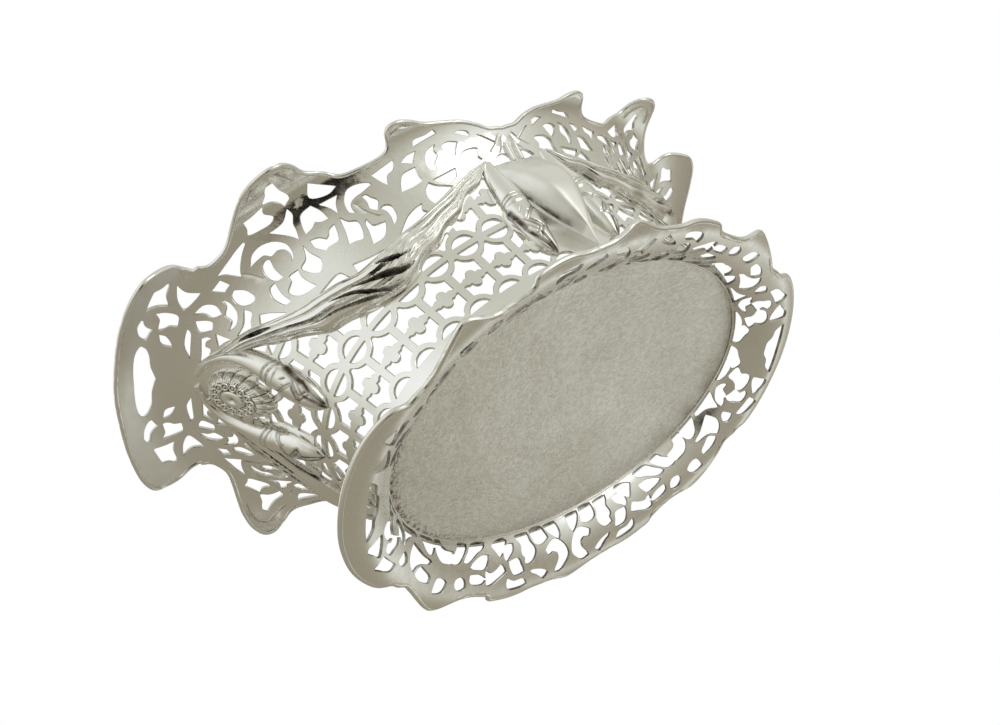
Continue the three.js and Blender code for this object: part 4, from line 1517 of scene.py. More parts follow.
FOOT_LINE: Pairs = (
    (-.8, 1.13), (9, 1.13), (18, 1.10), (25, 1.0), (28, .87), (30, .85), (33, .8), (36, .84),
    (40, .92), (45, 1.03), (47, 1.06), (49, 1.03), (51, .95), (53, .88), (55, .84), (58, .82),
    (61, .83), (64, .87), (65, .95), (68, .98), (72, .99), (75, .97), (78, .93), (82, .925),
    (85, .94), (88, 1.0), (90, 1.06), (91.32, 1.08))

FOOT_SLOT: Pairs = ((-.8, .83), (8, .85), (7.5, .80), (6, .71), (3.5, .68), (1.5, .61), (-.8, .6))

FOOT_SCROLLS: tuple[Pairs, ...] = (
    ((.5, .03), (1, .1), (4, .17), (7, .24), (9.5, .17), (8, .12), (6, .02)),
    ((7.5, .02), (8, .08), (10, .11), (14, .09), (16, .05), (17, .02)),
    ((17, .2), (18, .15), (20, .12), (22, .15), (24, .22), (24.5, .33), (23, .3), (22, .27),
     (21, .29), (20.5, .25), (19.5, .18), (18, .18)),
    ((9, .26), (11, .23), (13.5, .21), (14, .3), (15, .36), (17, .41), (16, .48), (13, .52),
     (11, .5), (10.5, .45), (11, .35)),
    ((17.5, .4), (19, .38), (21, .33), (21.5, .4), (20.5, .5), (20, .58), (17.5, .6), (16.5, .57),
     (18, .5)),
    ((11, .61), (13, .64), (16, .75), (14, .78), (12, .84), (11, .83)),
    ((18, .72), (21, .7), (24, .67), (23.5, .73), (20, .82), (18.5, .87)),
    ((23, .02), (27, .015), (31, .03), (33, .07), (29, .12), (27, .2), (26, .27), (25, .15)),
    ((26.5, .44), (27.5, .46), (28.5, .53), (27.5, .58), (25.5, .57)),
    ((31, .23), (33, .27), (37, .35), (40, .38), (36, .42), (34, .48), (33, .57), (31, .5),
     (30, .4)),
    ((34.5, .6), (36, .51), (38, .54), (40.5, .6), (40.5, .64), (37, .64)),
    ((35, .03), (38, .02), (40.5, .03), (42, .1), (40.5, .25), (38, .22), (36.5, .13)),
    ((42.5, .04), (45, .04), (45.5, .12), (47, .18), (50, .2), (50, .27), (49, .33), (47, .33),
     (45, .32), (43, .22)),
    ((53, .06), (56, .07), (55, .15), (54, .22), (52, .32), (49.5, .33), (51, .22), (52.5, .13)),
    ((58.5, .07), (63, .06), (62, .12), (60, .17), (56.5, .3), (54.5, .32), (56.5, .2)),
    ((61, .28), (63.5, .27), (63, .33), (62, .42), (60, .42), (57, .4), (59, .33)),
    ((66, .13), (68.5, .07), (70.5, .06), (71, .09), (69.5, .2), (68, .3), (67, .2)),
    ((70.5, .19), (73, .17), (72.5, .25), (71.5, .3), (70, .38), (69.7, .28)),
    ((71, .43), (74, .42), (74.5, .5), (75.3, .6), (72.5, .6), (71.5, .52)),
    ((75, .07), (79, .07), (79, .2), (80, .33), (79.5, .42), (78, .49), (76.5, .48), (76.8, .4),
     (76, .35), (76.3, .2)),
    ((80.5, .05), (84, .05), (84.5, .15), (85, .23), (83, .27), (81, .24)),
    ((85.5, .06), (89, .06), (89.2, .2), (88.8, .3), (87, .2)),
    ((84, .42), (86, .34), (87.5, .33), (89, .4), (90, .5), (90.3, .62), (89, .72), (87.5, .79),
     (86, .78), (87, .7), (87.8, .6), (87.5, .5), (86, .45), (84.5, .48)),
    ((56.8, .54), (60, .55), (62, .6), (61, .63), (57, .6)),
    ((62.5, .5), (64, .55), (66.5, .5), (68, .44), (69, .53), (66.5, .6), (64.5, .66), (63, .67)),
    ((51.5, .6), (53.5, .57), (54.5, .62), (54.8, .67), (53, .7), (51.5, .65)),
    ((44, .61), (46, .6), (47.5, .63), (46.5, .73), (43.5, .76)),
    ((70, .68), (72, .74), (75, .74), (76, .8), (73, .81), (70.5, .78)),
    ((78, .65), (81, .69), (83, .75), (82, .8), (80, .7)),
)


def true_degrees(line: Pairs) -> Array:
    """Return a foot line with its angles set right."""
    return (np.array(line, float) + (FOOT_TURN, 0)) * (FOOT_SCALE, 1)


@dataclass
class Foot:
    """The pierced skirt foot and the wire round its edge."""

    skirt: FootSheet
    wires: WireMaker
    sheet: float = 1.1
    spacing: float = 1.5
    # how dark the saw-cut side walls are painted: partly tarnish, partly painted shade
    cut_tarnish_shade: float = 0.75
    wire: float = 1.0
    wire_inset: float = 0.6
    wire_lift: float = 0.3
    ease: float = 0.66
    highest: float = 0.012

    @cached_property
    def edge(self) -> Array:
        """Return the foot's edge over one half."""
        return both_sides(open_line(true_degrees(FOOT_LINE), self.skirt))

    def build_skirt(self, finish: Material) -> None:
        """Saw the skirt out.

        Args:
            finish: The skirt's material.
        """
        slot = both_sides(open_line(true_degrees(FOOT_SLOT), self.skirt))[:-1]
        scrolls = smooth_openings([true_degrees(line) for line in FOOT_SCROLLS], self.skirt)
        pattern = PiercedSheet("foot_skirt", self.skirt, self.edge,
                               [slot, *(self.eased(line) for line in scrolls)],
                               thickness=self.sheet, spacing=self.spacing, chamfer_both=True,
                               cut_tarnish_shade=self.cut_tarnish_shade)
        place_piece(pattern.build(finish), SlotName.BRUSHED, "pierced_foot")

    def eased(self, line: Array) -> Array:
        """File an opening out a little all round.

        Args:
            line: Its outline.

        Returns:
            The wider outline, held off the skirt's inner edge.
        """
        p = line * self.skirt.flat
        area = np.sum(p[:, 0] * np.roll(p[:, 1], -1) - np.roll(p[:, 0], -1) * p[:, 1])
        u, s = offset_line(line, self.skirt.flat, -math.copysign(self.ease, area)).T
        return np.stack([u, np.maximum(s, self.highest)], 1)

    def build_edge(self, finish: Material) -> None:
        """Solder the wire round the foot.

        Args:
            finish: The wire's material.
        """
        line = edge_path(self.skirt, self.edge, self.wire_inset, self.wire_lift)
        place_piece(self.wires.make("foot_wire", line, self.wire, finish), SlotName.POLISHED,
                    "foot_border")


# ---- reliefs laid on the wall --------------------------------------------------------------------

@dataclass(frozen=True)
class Quarter:
    """One quarter of the basket and how a place in the first quarter reads there."""

    name: str
    start: float
    sign: float

    def u(self, u: Array | float) -> Array | float:
        """Return the position in this quarter of one in the first."""
        return self.start + self.sign * u


HALF_TURN = WALL.half_turn
SIDE_MIDDLE = HALF_TURN / 2
QUARTERS = (Quarter("front_right", 0, -1), Quarter("back_right", 0, 1),
            Quarter("back_left", HALF_TURN, -1), Quarter("front_left", HALF_TURN, 1))
LEAST_HEIGHT = 0.02


def relief(name: str, surface: CurvedSheet, u: Array, s: Array, high: Array, recess: Array,
           finish: Material, seat: float = 0.5, wrap: bool = False) -> Piece:
    """A closed body that stands on the sheet under a grid of heights.

    Args:
        name: Name of the piece.
        surface: The sheet under it.
        u: Positions of the grid's corners round the oval.
        s: Their positions up the sheet.
        high: Their heights above the sheet's face.
        recess: How dark each corner is painted in a fold or cut, 0 to 1: tarnish with painted
            shade.
        finish: Its material.
        seat: Where its back lies, off the sheet's middle.
        wrap: Whether the grid's columns close to a ring, round a middle in its first row.

    Returns:
        The piece.
    """
    rows, columns = u.shape
    count = rows * columns
    top = surface.at(u, s, seat + high).reshape(-1, 3)
    back = surface.at(u, s, seat).reshape(-1, 3)
    faces = grid_faces(rows, columns, wrap)
    faces += [tuple(count + i for i in reversed(face)) for face in faces]
    if wrap:
        loop = list(range(count - columns, count))
        faces += [tuple(range(columns)), tuple(range(count, count + columns))]
    else:
        loop = [*range(columns), *range(2 * columns - 1, count, columns),
                *range(count - 2, count - columns - 1, -1),
                *range(count - 2 * columns, 0, -columns)]
    faces += [(a, b, count + b, count + a) for a, b in zip(loop, loop[1:] + loop[:1])]
    marks = {"recess": np.concatenate([recess.ravel(), np.zeros(count)])}
    return make_piece(name, np.vstack([top, back]), faces, finish, marks, outward=True)


# middle of a hollow as (share of the length, share of the width), its width, depth and darkness
# the darkness is painted shade in the hollow, with some tarnish
FOLD_LINES: tuple[tuple[Pairs, float, float, float], ...] = (
    (((.40, .62), (.47, .46), (.51, .33), (.55, .20), (.59, .12)), .085, .62, 1.0),
    (((.49, .78), (.55, .53), (.60, .32)), .06, .55, .95),
    (((.33, .55), (.39, .45), (.43, .28), (.47, .14), (.53, .06)), .055, .45, .9),
    (((.24, .33), (.33, .27), (.39, .20), (.44, .12), (.50, .05)), .05, .40, .75),
    (((.06, .52), (.2, .46), (.30, .40), (.37, .38)), .045, .30, .55),
    (((.10, .72), (.14, .70), (.18, .71)), .11, .45, 1.0),
    (((.18, .82), (.28, .87), (.36, .86)), .045, .30, .25),
    (((.05, .30), (.15, .24), (.26, .14)), .05, .25, .35),
    (((.60, .78), (.72, .74), (.85, .70), (.97, .62)), .06, .30, .15),
    (((.60, .52), (.72, .50), (.84, .50), (.95, .50)), .055, .28, .10),
    (((.57, .24), (.66, .26), (.78, .30), (.92, .36)), .06, .30, .12),
    (((.62, .92), (.68, .93), (.74, .92)), .06, .35, .5),
)


@dataclass
class Swag:
    """A cloth swag in folds, hung between the end flower and the side shield."""

    wall: WallSheet
    high: float = 5.6
    rows: int = 280
    columns: int = 84
    start: float = 0.35
    end: float = 8.5
    bend: tuple[float, float] = (0.50, 0.64)
    roll_power: float = 1.4
    pleat: float = 0.032
    pleat_loss: float = 0.018
    thinnest: float = 0.12
    dome: float = 2.6
    body: Pairs = ((0, .3), (.12, .5), (.3, .8), (.5, 1), (.65, .95), (.85, .62), (1, .35))
    cover_ease: float = 0.004

    @cached_property
    def edges(self) -> tuple[Array, Array]:
        """Return the lower and the upper edge of the cloth."""
        return open_line(SWAG_LOWER, self.wall), open_line(SWAG_UPPER, self.wall)

    def cover(self) -> Array:
        """The outline that the cloth covers, pulled in a little.

        Returns:
            The outline in the first quarter.
        """
        u = np.linspace(self.start, self.end, 80)
        lower, upper = (np.interp(u, *edge.T) for edge in self.edges)
        return np.vstack([np.stack([u, lower + self.cover_ease], 1),
                          np.stack([u, upper - self.cover_ease], 1)[::-1]])

    def folds(self, t: Array, v: Array) -> tuple[Array, Array]:
        """The folds of the cloth: hollows between rolls, and soft pleats that run across the bend.

        Args:
            t: Share of the way from the end to the side.
            v: Share of the way from the lower to the upper edge.

        Returns:
            The height left between the hollows, and how dark each spot is painted in one, as
            painted shade.
        """
        right = ramp(t, *self.bend)
        left = 1 - right
        rolls = sum(share * depth * (1 - np.abs(np.sin(math.pi * phase))) ** self.roll_power
                    for share, depth, phase in ((left, 0.16, 3.1 * v + 2.0 * t * t - 0.2),
                                                (right, 0.17, 3.6 * v - 0.9 * (t - 0.6) + 0.35)))
        pleat = np.abs(np.sin(math.pi * (9 * v + 2.5 * t * left - 2 * t * right)))
        pleat = (self.pleat - self.pleat_loss * right) * pleat
        height, recess = 1 - rolls - pleat, np.zeros_like(t)
        for line, width, depth, dark in FOLD_LINES:
            start, end = line[0][0], line[-1][0]
            swell = np.sin(math.pi * np.clip((t - start) / (end - start), 0, 1)) ** 0.7
            across = (v - smooth_keys(t, line)) / (width * np.maximum(swell, 0.05))
            hollow = swell * np.clip(1 - across ** 2, 0, 1) ** 0.8
            height = height - depth * hollow
            recess = np.maximum(recess, dark * np.clip(hollow * 1.5, 0, 1))
        return height, recess

    def build(self, quarter: Quarter, finish: Material) -> None:
        """Drape the cloth in one quarter.

        Args:
            quarter: The quarter.
            finish: The cloth's material.
        """
        t, v = grid(np.linspace(0, 1, self.rows), np.linspace(0, 1, self.columns))
        u = self.start + (self.end - self.start) * t
        lower, upper = (np.interp(u, *edge.T) for edge in self.edges)
        height, recess = self.folds(t, v)
        dome = round_off(2 * v - 1, self.dome)
        high = self.high * smooth_keys(t, self.body) * dome * np.clip(height, self.thinnest, 1)
        # painted shade in the hollows, with some tarnish, faded out towards the cloth's edges
        recess = np.clip(recess * ramp(dome, 0.15, 0.6), 0, 1)
        piece = relief(f"swag_cloth_{quarter.name}", self.wall, quarter.u(u),
                       lower + (upper - lower) * v, high, recess, finish)
        place_piece(piece, SlotName.POLISHED, f"swag_{quarter.name}")


# start and end of a stroke as (stage of the length, share of the half width), its width in
# millimetres and how dark it is
# the darkness is painted shade in the cut, with some tarnish
HUSK_CUTS: tuple[tuple[tuple[float, float], tuple[float, float], float, float], ...] = (
    ((.56, -.95), (.70, .35), .24, .7), ((.585, -.95), (.72, .35), .22, .6),
    ((.72, .25), (.80, -.35), .26, .9), ((.74, .35), (.82, -.25), .24, .8),
    ((.60, .25), (.63, .45), .22, .8), ((.58, .88), (.76, .70), .62, 1.3),
    ((.76, .78), (.97, .5), .42, 1.2), ((.80, -.1), (.84, .45), .22, .8),
    ((.83, -.15), (.87, .35), .22, .8), ((.85, .12), (.99, .1), .42, 1.2),
    ((.84, .0), (.81, -.5), .22, .5), ((.80, -.35), (.81, -.3), .36, 1.1),
    ((.64, .0), (.67, -.4), .2, .5), ((.70, .55), (.80, .05), .22, .7),
    ((.74, .62), (.83, .2), .22, .7),
)


@dataclass
class Husk:
    """A bud drop of three husks, one out of the other, along a curved line."""

    wall: WallSheet
    name: str
    line: Pairs
    half: float
    high: float
    width: Pairs
    side: float = 1.0
    lip: float = 0.53
    length: float = 34.0
    rows: int = 200
    columns: int = 60
    cover_share: float = 0.93
    dome: float = 2.2
    lips: tuple[float, float] = (-0.03, 0.005)
    lip_bow: float = 0.03
    lip_width: float = 0.007
    lip_depth: float = 0.22
    # how dark the lip creases are painted, as shade with some tarnish
    lip_dark: float = 0.6
    cut_slope: float = 1.1
    rise: Pairs = ((0, .25), (.12, .42), (.3, .72), (.45, .95), (.515, 1), (.54, .95), (.66, .97),
                   (.8, .86), (.9, .64), (.96, .42), (1, .2))

    @cached_property
    def axis_line(self) -> tuple[Array, Array]:
        """The middle of the bud.

        Returns:
            The share of its length at each point, and the points as (u, s).
        """
        line = open_line(self.line, self.wall, 0.5)
        run = run_length(line * self.wall.flat)
        return run / run[-1], line

    def stage(self, t: Array | float) -> Array:
        """Return a share of the length as 0 to 0.5 above the lips and 0.5 to 1 below them."""
        return np.interp(t, (0, self.lip, 1), (0, 0.5, 1))

    def half_width(self, t: Array | float) -> Array:
        """Return the bud's half width along its length, 0 at the top and 1 at the tip."""
        return self.half * smooth_keys(self.stage(t), self.width)

    def axis(self, t: Array) -> tuple[Array, Array]:
        """Return (u, s) of the bud's middle at a share of its length."""
        shares, line = self.axis_line
        return np.interp(t, shares, line[:, 0]), np.interp(t, shares, line[:, 1])

    def spots(self, t: Array, v: Array) -> tuple[Array, Array]:
        """Places on the bud.

        Args:
            t: Share of the length.
            v: Share of the half width, -1 to 1.

        Returns:
            Their u and s.
        """
        u0, s0 = self.axis(t)
        across_u, across_s, _ = self.wall.axes(u0, s0)
        (u1, s1), (u2, s2) = self.axis(t - 0.03), self.axis(t + 0.03)
        run = across_u * (u2 - u1)[..., None] + across_s * (s2 - s1)[..., None]
        x, y = -(run * unit(across_s)).sum(-1), (run * unit(across_u)).sum(-1)
        length = np.hypot(x, y)
        move = v * self.half_width(t)
        return self.wall.shift(u0, s0, move * x / length, move * y / length)

    def cover(self) -> Array:
        """The outline that the bud covers.

        Returns:
            The outline in the first quarter.
        """
        t = np.linspace(0, 1, 40)
        left, right = (np.stack(self.spots(t, np.full(40, side * self.cover_share)), 1)
                       for side in (-1, 1))
        return np.vstack([left, right[::-1]])

    def carving(self, t: Array, v: Array) -> tuple[Array, Array]:
        """The lines cut in the husks.

        Args:
            t: Share of the length.
            v: Share of the half width, -1 to 1.

        Returns:
            How deep each spot is cut, in millimetres, and how dark it is painted there, as shade
            with some tarnish.
        """
        across = v * self.half_width(t) * self.side
        lips = sum(bell(t - self.lip - at + self.lip_bow * (1 - v * v), 0, self.lip_width)
                   for at in self.lips)
        cut, dark = self.lip_depth * lips, self.lip_dark * lips
        for (t0, v0), (t1, v1), width, tone in HUSK_CUTS:
            t0, t1 = np.interp((t0, t1), (0, 0.5, 1), (0, self.lip, 1))
            start, end = (np.array((at * self.length, share * self.half_width(at)))
                          for at, share in ((t0, v0), (t1, v1)))
            run = end - start
            x, y = t * self.length - start[0], across - start[1]
            share = np.clip((x * run[0] + y * run[1]) / (run @ run), 0, 1)
            line = np.exp(-((x - share * run[0]) ** 2 + (y - share * run[1]) ** 2) / width ** 2)
            cut = np.maximum(cut, self.cut_slope * width * line)
            dark = np.maximum(dark, tone * line)
        return cut, dark

    def build(self, quarter: Quarter, finish: Material) -> None:
        """Lay the bud in one quarter.

        Args:
            quarter: The quarter.
            finish: The bud's material.
        """
        t, v = grid(np.linspace(0, 1, self.rows), np.linspace(-1, 1, self.columns))
        u, s = self.spots(t, v)
        dome = round_off(v, self.dome)
        cut, dark = self.carving(t, v)
        high = self.high * smooth_keys(self.stage(t), self.rise) * dome
        high = np.maximum(high - cut * ramp(dome, 0.1, 0.5), LEAST_HEIGHT)
        # painted shade in the cuts and lips, faded out towards the bud's edges
        recess = np.clip(dark * ramp(dome, 0.2, 0.5), 0, 1)
        piece = relief(f"{self.name}_bud_{quarter.name}", self.wall, quarter.u(u), s, high, recess,
                       finish)
        place_piece(piece, SlotName.POLISHED, f"{self.name}_{quarter.name}")


@dataclass
class Shield:
    """The smooth pointed shield in the middle of a long side, and the straps that it hangs from."""

    wall: WallSheet
    top: float = 0.498
    tip: float = 0.035
    half: float = 12.3
    rows: int = 130
    columns: int = 96
    flange: float = 2.0
    groove: float = 0.32
    groove_depth: float = 0.4
    # how dark the groove inside the flange is painted, as shade with some tarnish
    groove_dark: float = 0.95
    groove_ends: tuple[float, float] = (4.0, 6.5)
    dome: float = 4.5
    cover_share: float = 0.96
    width: Pairs = ((0, 1), (.15, .99), (.35, .93), (.55, .775), (.75, .53), (.9, .22), (1, .02))
    rise: Pairs = ((0, .5), (.15, 4.1), (.35, 6.5), (.55, 6.9), (.75, 5.3), (.9, 2.6), (1, .4))
    stand: Pairs = ((0, .4), (.15, 1.0), (.35, 2.6), (.55, 3.7), (.75, 3.5), (.9, 2.9), (1, 2.6))
    strap_spread: float = 0.14
    strap_base: float = 0.5
    strap_length: float = 0.12
    strap_half: float = 0.95
    strap_high: float = 1.3

    def half_width(self, t: Array) -> Array:
        """Return the shield's half width along its length."""
        return self.half * smooth_keys(t, self.width)

    def level(self, t: Array) -> Array:
        """Return the s at a share of the shield's length."""
        return self.top + (self.tip - self.top) * t

    def cover(self) -> Array:
        """The outline that the shield covers.

        Returns:
            The outline on the back side.
        """
        t = np.linspace(0, 1, 50)
        s = self.level(t)
        right = self.wall.shift(SIDE_MIDDLE, s, self.half_width(t) * self.cover_share, 0)[0]
        return np.stack([np.concatenate([right, HALF_TURN - right[::-1]]),
                         np.concatenate([s, s[::-1]])], 1)

    def build(self, name: str, turn: float, finish: Material) -> None:
        """Lay the shield and its straps on one long side.

        Args:
            name: The side's name.
            turn: How far round the side is from the back one.
            finish: Their material.
        """
        t, v = grid(np.linspace(0, 1, self.rows), np.linspace(-1, 1, self.columns))
        middle = SIDE_MIDDLE + turn
        width, s = self.half_width(t), self.level(t)
        u = self.wall.shift(middle, s, v * width, 0)[0]
        border = self.flange / np.maximum(width, self.flange * 1.6)
        dome = 1 - np.clip(np.abs(v) / (1 - border), 0, 1) ** self.dome
        groove = bell((1 - np.abs(v)) * width, self.flange, self.groove)
        groove = groove * ramp(width, *self.groove_ends)
        high = (smooth_keys(t, self.stand) + smooth_keys(t, self.rise) * dome
                - self.groove_depth * groove)
        # the groove is painted dark as shade, with some tarnish
        piece = relief(f"shield_{name}", self.wall, u, s, np.maximum(high, LEAST_HEIGHT),
                       groove * self.groove_dark, finish)
        place_piece(piece, SlotName.POLISHED, f"side_boss_{name}")
        for side in (-1, 1):
            where = "left" if side * (turn + 1) > 0 else "right"
            self.strap(f"{name}_{where}", middle + side * self.strap_spread, finish)

    def strap(self, name: str, middle: float, finish: Material) -> None:
        """Lay one short strap.

        Args:
            name: Its side and its place there.
            middle: Its position round the oval.
            finish: Its material.
        """
        t, v = grid(np.linspace(0, 1, 24), np.linspace(-1, 1, 13))
        s = self.strap_base + self.strap_length * t
        width = self.strap_half * np.interp(t, [0, .8, 1], [1, .9, .35])
        u = self.wall.shift(middle, s, v * width, 0)[0]
        ends = np.interp(t, [0, .1, .85, 1], [.8, 1, 1, .4])
        piece = relief(f"strap_{name}", self.wall, u, s, self.strap_high * round_off(v, 3) * ends,
                       np.zeros_like(t), finish)
        place_piece(piece, SlotName.POLISHED, f"side_strap_{name}")


@dataclass
class Patera:
    """The oval petalled flower at an end."""

    wall: WallSheet
    beads: BeadSetter
    level: float = 0.47
    half_width: float = 6.9
    half_height: float = 12.6
    high: float = 5.6
    petals: int = 18
    rows: int = 84
    columns: int = 432
    hollow: float = 0.015
    cover_share: float = 0.96
    petals_from: tuple[float, float] = (0.68, 0.76)
    petal_gap: float = 0.12
    petal_dip: float = 0.06
    rib_depth: float = 0.03
    # rings of painted shade on the flower, with some tarnish
    shades: tuple[tuple[float, float, float], ...] = (  # share of the size, width, darkness
        (0.39, 0.02, 0.7), (0.0, 0.06, 1.0), (0.56, 0.10, 0.9))
    rise: Pairs = ((0, .84), (.05, .86), (.1, .92), (.2, .97), (.3, .96), (.36, .90), (.39, .80),
                   (.43, .82), (.56, .82), (.68, .80), (.72, .86), (.82, .78), (.92, .56), (1, .2))
    bead_count: int = 14
    bead_ring: float = 0.56
    bead_size: float = 1.4
    bead_lift: float = 0.8

    def spots(self, middle: float, size: Array, angle: Array) -> tuple[Array, Array]:
        """Return (u, s) at a share of the flower's size and an angle round it."""
        return self.wall.shift(middle, self.level, size * self.half_width * np.cos(angle),
                               size * self.half_height * np.sin(angle))

    def cover(self) -> Array:
        """Return the outline that the flower covers."""
        return np.stack(self.spots(0.0, np.full(60, self.cover_share), around(60)), 1)

    def dome(self, size: Array) -> Array:
        """Return the flower's height at a share of its size."""
        return self.high * smooth_keys(size, self.rise)

    def build(self, name: str, middle: float, finish: Material) -> None:
        """Lay the flower at one end, with its beads.

        Args:
            name: The end's name.
            middle: Where it stands round the oval.
            finish: The flower's material.
        """
        size, angle = grid(np.linspace(self.hollow, 1, self.rows), around(self.columns))
        petal = np.abs(np.cos(self.petals / 2 * angle)) ** 0.5
        rib = np.abs(np.cos(self.petals * 1.5 * angle))
        reach = size * (1 - self.petal_dip * (1 - petal) * ramp(size, 0.7, 1.0))
        u, s = self.spots(middle, reach, -angle)
        outer = ramp(size, *self.petals_from)
        gaps = self.petal_gap * (1 - petal) + self.rib_depth * (1 - rib)
        high = self.dome(size) - self.high * outer * gaps
        # painted shade with some tarnish: rings round the flower, and the gaps between its petals
        recess = sum((dark * bell(size, at, width) for at, width, dark in self.shades),
                     outer * np.clip(1 - petal * 2.2, 0, 1) * 0.6)
        recess = recess + 0.9 * bell(size, 0.95, 0.035) * np.clip(1 - petal * 1.6, 0, 1)
        piece = relief(f"flower_{name}", self.wall, u, s, high, np.clip(recess, 0, 1), finish,
                       wrap=True)
        place_piece(piece, SlotName.POLISHED, f"end_patera_{name}")
        self.set_beads(name, middle, finish)

    def set_beads(self, name: str, middle: float, finish: Material) -> None:
        """Set a ring of small cupped beads round the flower's button.

        Args:
            name: The end's name.
            middle: Where the flower stands round the oval.
            finish: The beads' material.
        """
        u, s = self.spots(middle, np.full(self.bead_count, self.bead_ring),
                          around(self.bead_count))
        high = self.bead_lift + float(self.dome(np.array(self.bead_ring)))
        piece = self.beads.make(f"flower_beads_{name}", self.wall.at(u, s, high),
                                self.wall.axes(u, s)[2], self.bead_size, finish)
        place_piece(piece, SlotName.POLISHED)


# ---- stage ---------------------------------------------------------------------------------------

@dataclass(frozen=True)
class Glow:
    """A soft light patch of the studio: where it is, in degrees, how narrow and how strong."""

    azimuth: float
    elevation: float
    focus: float
    strength: float


@dataclass(frozen=True)
class Lamp:
    """A soft lamp: where it hangs and its width, in metres, and its power in watts."""

    name: str
    place: tuple[float, float, float]
    size: float
    power: float


@dataclass
class Stage:
    """The table, the pale studio round it, the lamps and the camera."""

    camera_place: tuple[float, float, float] = (-0.22956620, -0.20816964, -0.19383474)
    camera_turn: tuple[float, float, float] = (142.06334879, 38.79102854, -9.09773153)
    lens: float = 40.50468
    sensor: float = 36.0
    shift: tuple[float, float] = (-0.010967, -0.015398)
    clip: tuple[float, float] = (0.01, 20.0)
    table_half: float = 6.0
    table_scale: float = 30.0
    table_tones: tuple[Colour, Colour] = ((0.86, 0.86, 0.855), (0.90, 0.90, 0.895))
    tent_radius: float = 3.0
    tent_base: float = 0.28
    glows: tuple[Glow, ...] = (
        Glow(-48, 38, 1.64, 0.23), Glow(-80, -1, 38, 0.17), Glow(-29, 42, 23, 0.22),
        Glow(-87, 36, 1.0, 0.12), Glow(5, -36, 20, -0.13), Glow(-60, -36, 5.7, 0.49),
        Glow(-150, 32, 5.0, 0.56), Glow(36, -24, 14, 0.35), Glow(32, -27, 40, 0.20),
        Glow(-178, 2, 11, 0.27), Glow(-130, -6, 24, 0.22))
    dark_cards: Pairs = ((-128, -44), (-128, -62))
    dark_reach: tuple[float, float] = (10.5, 13.5)
    dark_share: float = 0.03
    tones: tuple[tuple[float, Colour], ...] = (
        (0.0, (0.0, 0.0, 0.0)), (1.0, (1.0, 1.0, 1.0)), (0.235, (0.26, 0.234, 0.178)),
        (0.30, (0.333, 0.307, 0.24)), (0.41, (0.44, 0.414, 0.348)), (0.49, (0.508, 0.507, 0.429)),
        (0.6, (0.608, 0.611, 0.54)), (0.81, (0.80, 0.816, 0.765)))
    lamps: tuple[Lamp, ...] = (Lamp("key", (0.35, -1.05, -0.3), 0.55, 1.0),
                               Lamp("top", (-0.3, 0.5, 1.2), 0.9, 2.2))
    lamp_aim: tuple[float, float, float] = (0.0, 0.0, 0.04)

    def place_camera(self) -> None:
        """Set the camera at the photograph's viewing angle."""
        data = bpy.data.cameras.new("camera")
        data.lens, data.sensor_width = self.lens, self.sensor
        data.shift_x, data.shift_y = self.shift
        data.clip_start, data.clip_end = self.clip
        camera = add_object("camera", data)
        camera.location = self.camera_place
        camera.rotation_euler = Euler([math.radians(a) for a in self.camera_turn])
        bpy.context.scene.camera = camera

    def lay_table(self) -> None:
        """Lay a pale table that shows only from above."""
        half = self.table_half
        mesh = bpy.data.meshes.new("table")
        mesh.from_pydata([(-half, -half, 0), (half, -half, 0), (half, half, 0), (-half, half, 0)],
                         [], [(0, 1, 2, 3)])
        g = Graph("pale_table")
        darker, paler = ((*tone, 1) for tone in self.table_tones)
        paint = g.node("BsdfDiffuse", {"Color": g.blend(g.noise(g.place(), self.table_scale, 3),
                                                        darker, paler)})
        rays = g.node("LightPath").outputs
        through = rays["Is Shadow Ray"]
        for other in (rays["Is Glossy Ray"], rays["Is Transmission Ray"],
                      g.node("NewGeometry").outputs["Backfacing"]):
            through = g.math("MAXIMUM", through, other)
        mix = g.node("MixShader", {0: through, 1: paint.outputs[0],
                                   2: g.node("BsdfTransparent").outputs[0]})
        mesh.materials.append(g.dressed(mix))
        table = add_object("table", mesh)

    def light_world(self) -> None:
        """Make the world white."""
        world = bpy.data.worlds.new("studio")
        bpy.context.scene.world = world
        world.use_nodes = True
        world.node_tree.nodes["Background"].inputs["Color"].default_value = (1, 1, 1, 1)

    def gauze(self) -> Material:
        """Tint the tent's gauze by direction.

        Returns:
            Its material.
        """
        g = Graph("tent_gauze")
        way = g.vector("NORMALIZE", g.place()).outputs[0]
        light: object = self.tent_base
        for glow in self.glows:
            facing = g.math("MAXIMUM", g.toward(way, glow.azimuth, glow.elevation), 0.0)
            light = g.total(g.product(g.math("POWER", facing, glow.focus), glow.strength), light)
        far, near = (math.cos(math.radians(reach)) for reach in reversed(self.dark_reach))
        for card in self.dark_cards:
            light = g.product(light, g.remap(g.toward(way, *card), 1.0, self.dark_share, far, near))
        tint = g.node("ValToRGB", {0: light})
        stops = tint.color_ramp.elements
        for k, (where, colour) in enumerate(self.tones):
            stop = stops[k] if k < 2 else stops.new(where)
            stop.position, stop.color = where, (*colour, 1)
        return g.dressed(g.node("BsdfTransparent", {0: tint.outputs[0]}))

    def pitch_tent(self) -> None:
        """Pitch the tent that the silver mirrors and the camera doesn't see."""
        work = bmesh.new()
        bmesh.ops.create_icosphere(work, subdivisions=4, radius=self.tent_radius)
        mesh = bpy.data.meshes.new("tent")
        work.to_mesh(mesh)
        work.free()
        mesh.materials.append(self.gauze())
        tent = add_object("tent", mesh)
        tent.visible_camera = False

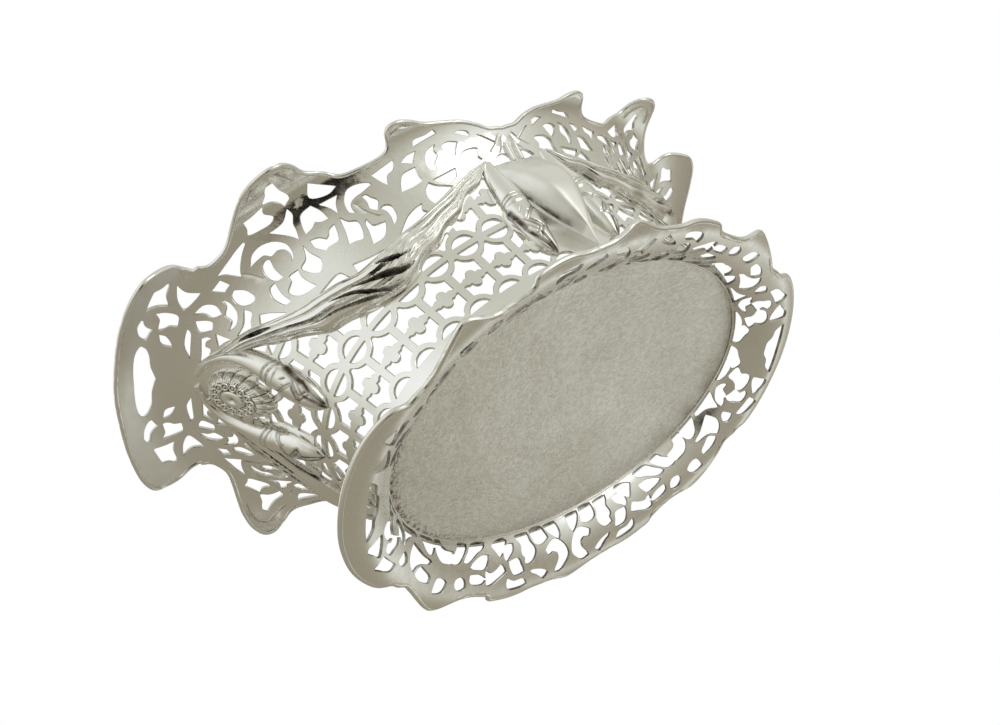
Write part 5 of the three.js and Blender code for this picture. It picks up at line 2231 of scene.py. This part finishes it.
    def hang_lamps(self) -> None:
        """Hang the soft lamps round the basket."""
        for lamp in self.lamps:
            data = bpy.data.lights.new(lamp.name, "AREA")
            data.size, data.energy = lamp.size, lamp.power
            hung = add_object(lamp.name, data)
            hung.location = lamp.place
            way = Vector(self.lamp_aim) - hung.location
            hung.rotation_euler = way.to_track_quat("-Z", "Y").to_euler()
            hung.visible_camera = False

    def build(self) -> None:
        """Set the whole stage."""
        self.place_camera()
        self.lay_table()
        self.light_world()
        self.pitch_tent()
        self.hang_lamps()
        bpy.context.scene.view_settings.view_transform = "Standard"


# ---- the basket ----------------------------------------------------------------------------------

TONGUE_WIDTH: Pairs = (
    (0, .2), (.15, .38), (.3, .62), (.42, .85), (.515, .96), (.54, .95), (.66, 1.0), (.78, .95),
    (.88, .76), (.95, .5), (1, .1))

BUD_WIDTH: Pairs = (
    (0, .34), (.1, .55), (.25, .82), (.4, .97), (.515, 1.0), (.54, .98), (.66, .98), (.78, .9),
    (.88, .7), (.95, .44), (1, .1))

END_HUSK_LINE: Pairs = (
    (.12, .665), (.45, .62), (.76, .53), (.88, .43), (.88, .33), (.80, .18))

SIDE_HUSK_LINE: Pairs = (
    (8.54, .525), (8.44, .357), (8.34, .216), (8.30, .133), (8.36, .065))


def build_basket() -> None:
    """Build every piece of the basket in order."""
    wires = WireMaker()
    sheet = Silver("wall_silver", recess="recess", satin_ends=0.22).make()
    skirt = Silver("foot_silver", rough_low=0.2, rough_high=0.34, grain=0.1,
                   recess="recess").make()
    wire = Silver("wire_silver", rough_low=0.18, rough_high=0.26, ripple=0.02,
                  scratch=0.01).make()
    satin = Silver("floor_silver", rough_low=0.30, rough_high=0.42, grain=0.25, scratch=0.1,
                   strokes=0.75, edge_speckle=1.0).make()
    chased = Silver("chased_silver", rough_low=0.10, rough_high=0.20, recess="recess").make()
    smooth = Silver("shield_silver", rough_low=0.36, rough_high=0.44, recess="recess").make()
    bowl, foot = Bowl(WALL, wires), Foot(FOOT, wires)
    swag, shield, patera = Swag(WALL), Shield(WALL), Patera(WALL, BeadSetter())
    husks = (Husk(WALL, "end_husk", END_HUSK_LINE, 4.9, 5.2, TONGUE_WIDTH, lip=0.68),
             Husk(WALL, "side_husk", SIDE_HUSK_LINE, 5.0, 5.6, BUD_WIDTH, side=-1.0))
    covers = [piece.cover() * (sign, 1) for piece in (swag, *husks) for sign in (-1.0, 1.0)]
    covers += [patera.cover(), shield.cover() - (HALF_TURN, 0),
               shield.cover() * (-1, 1) + (HALF_TURN, 0)]
    bowl.build_wall(covers, sheet)
    bowl.build_rim(wire)
    bowl.build_floor(satin)
    bowl.build_seams(wire)
    foot.build_skirt(skirt)
    foot.build_edge(wire)
    for quarter in QUARTERS:
        swag.build(quarter, chased)
        for husk in husks:
            husk.build(quarter, chased)
    for name, middle in (("right", 0.0), ("left", HALF_TURN)):
        patera.build(name, middle, chased)
    for name, turn in (("back", 0.0), ("front", -HALF_TURN)):
        shield.build(name, turn, smooth)


def main() -> None:
    """Build the basket and its stage."""
    logging.basicConfig(level=logging.INFO, format="%(name)s %(message)s")
    Stage().build()
    build_basket()


if __name__ == "__main__":
    main()
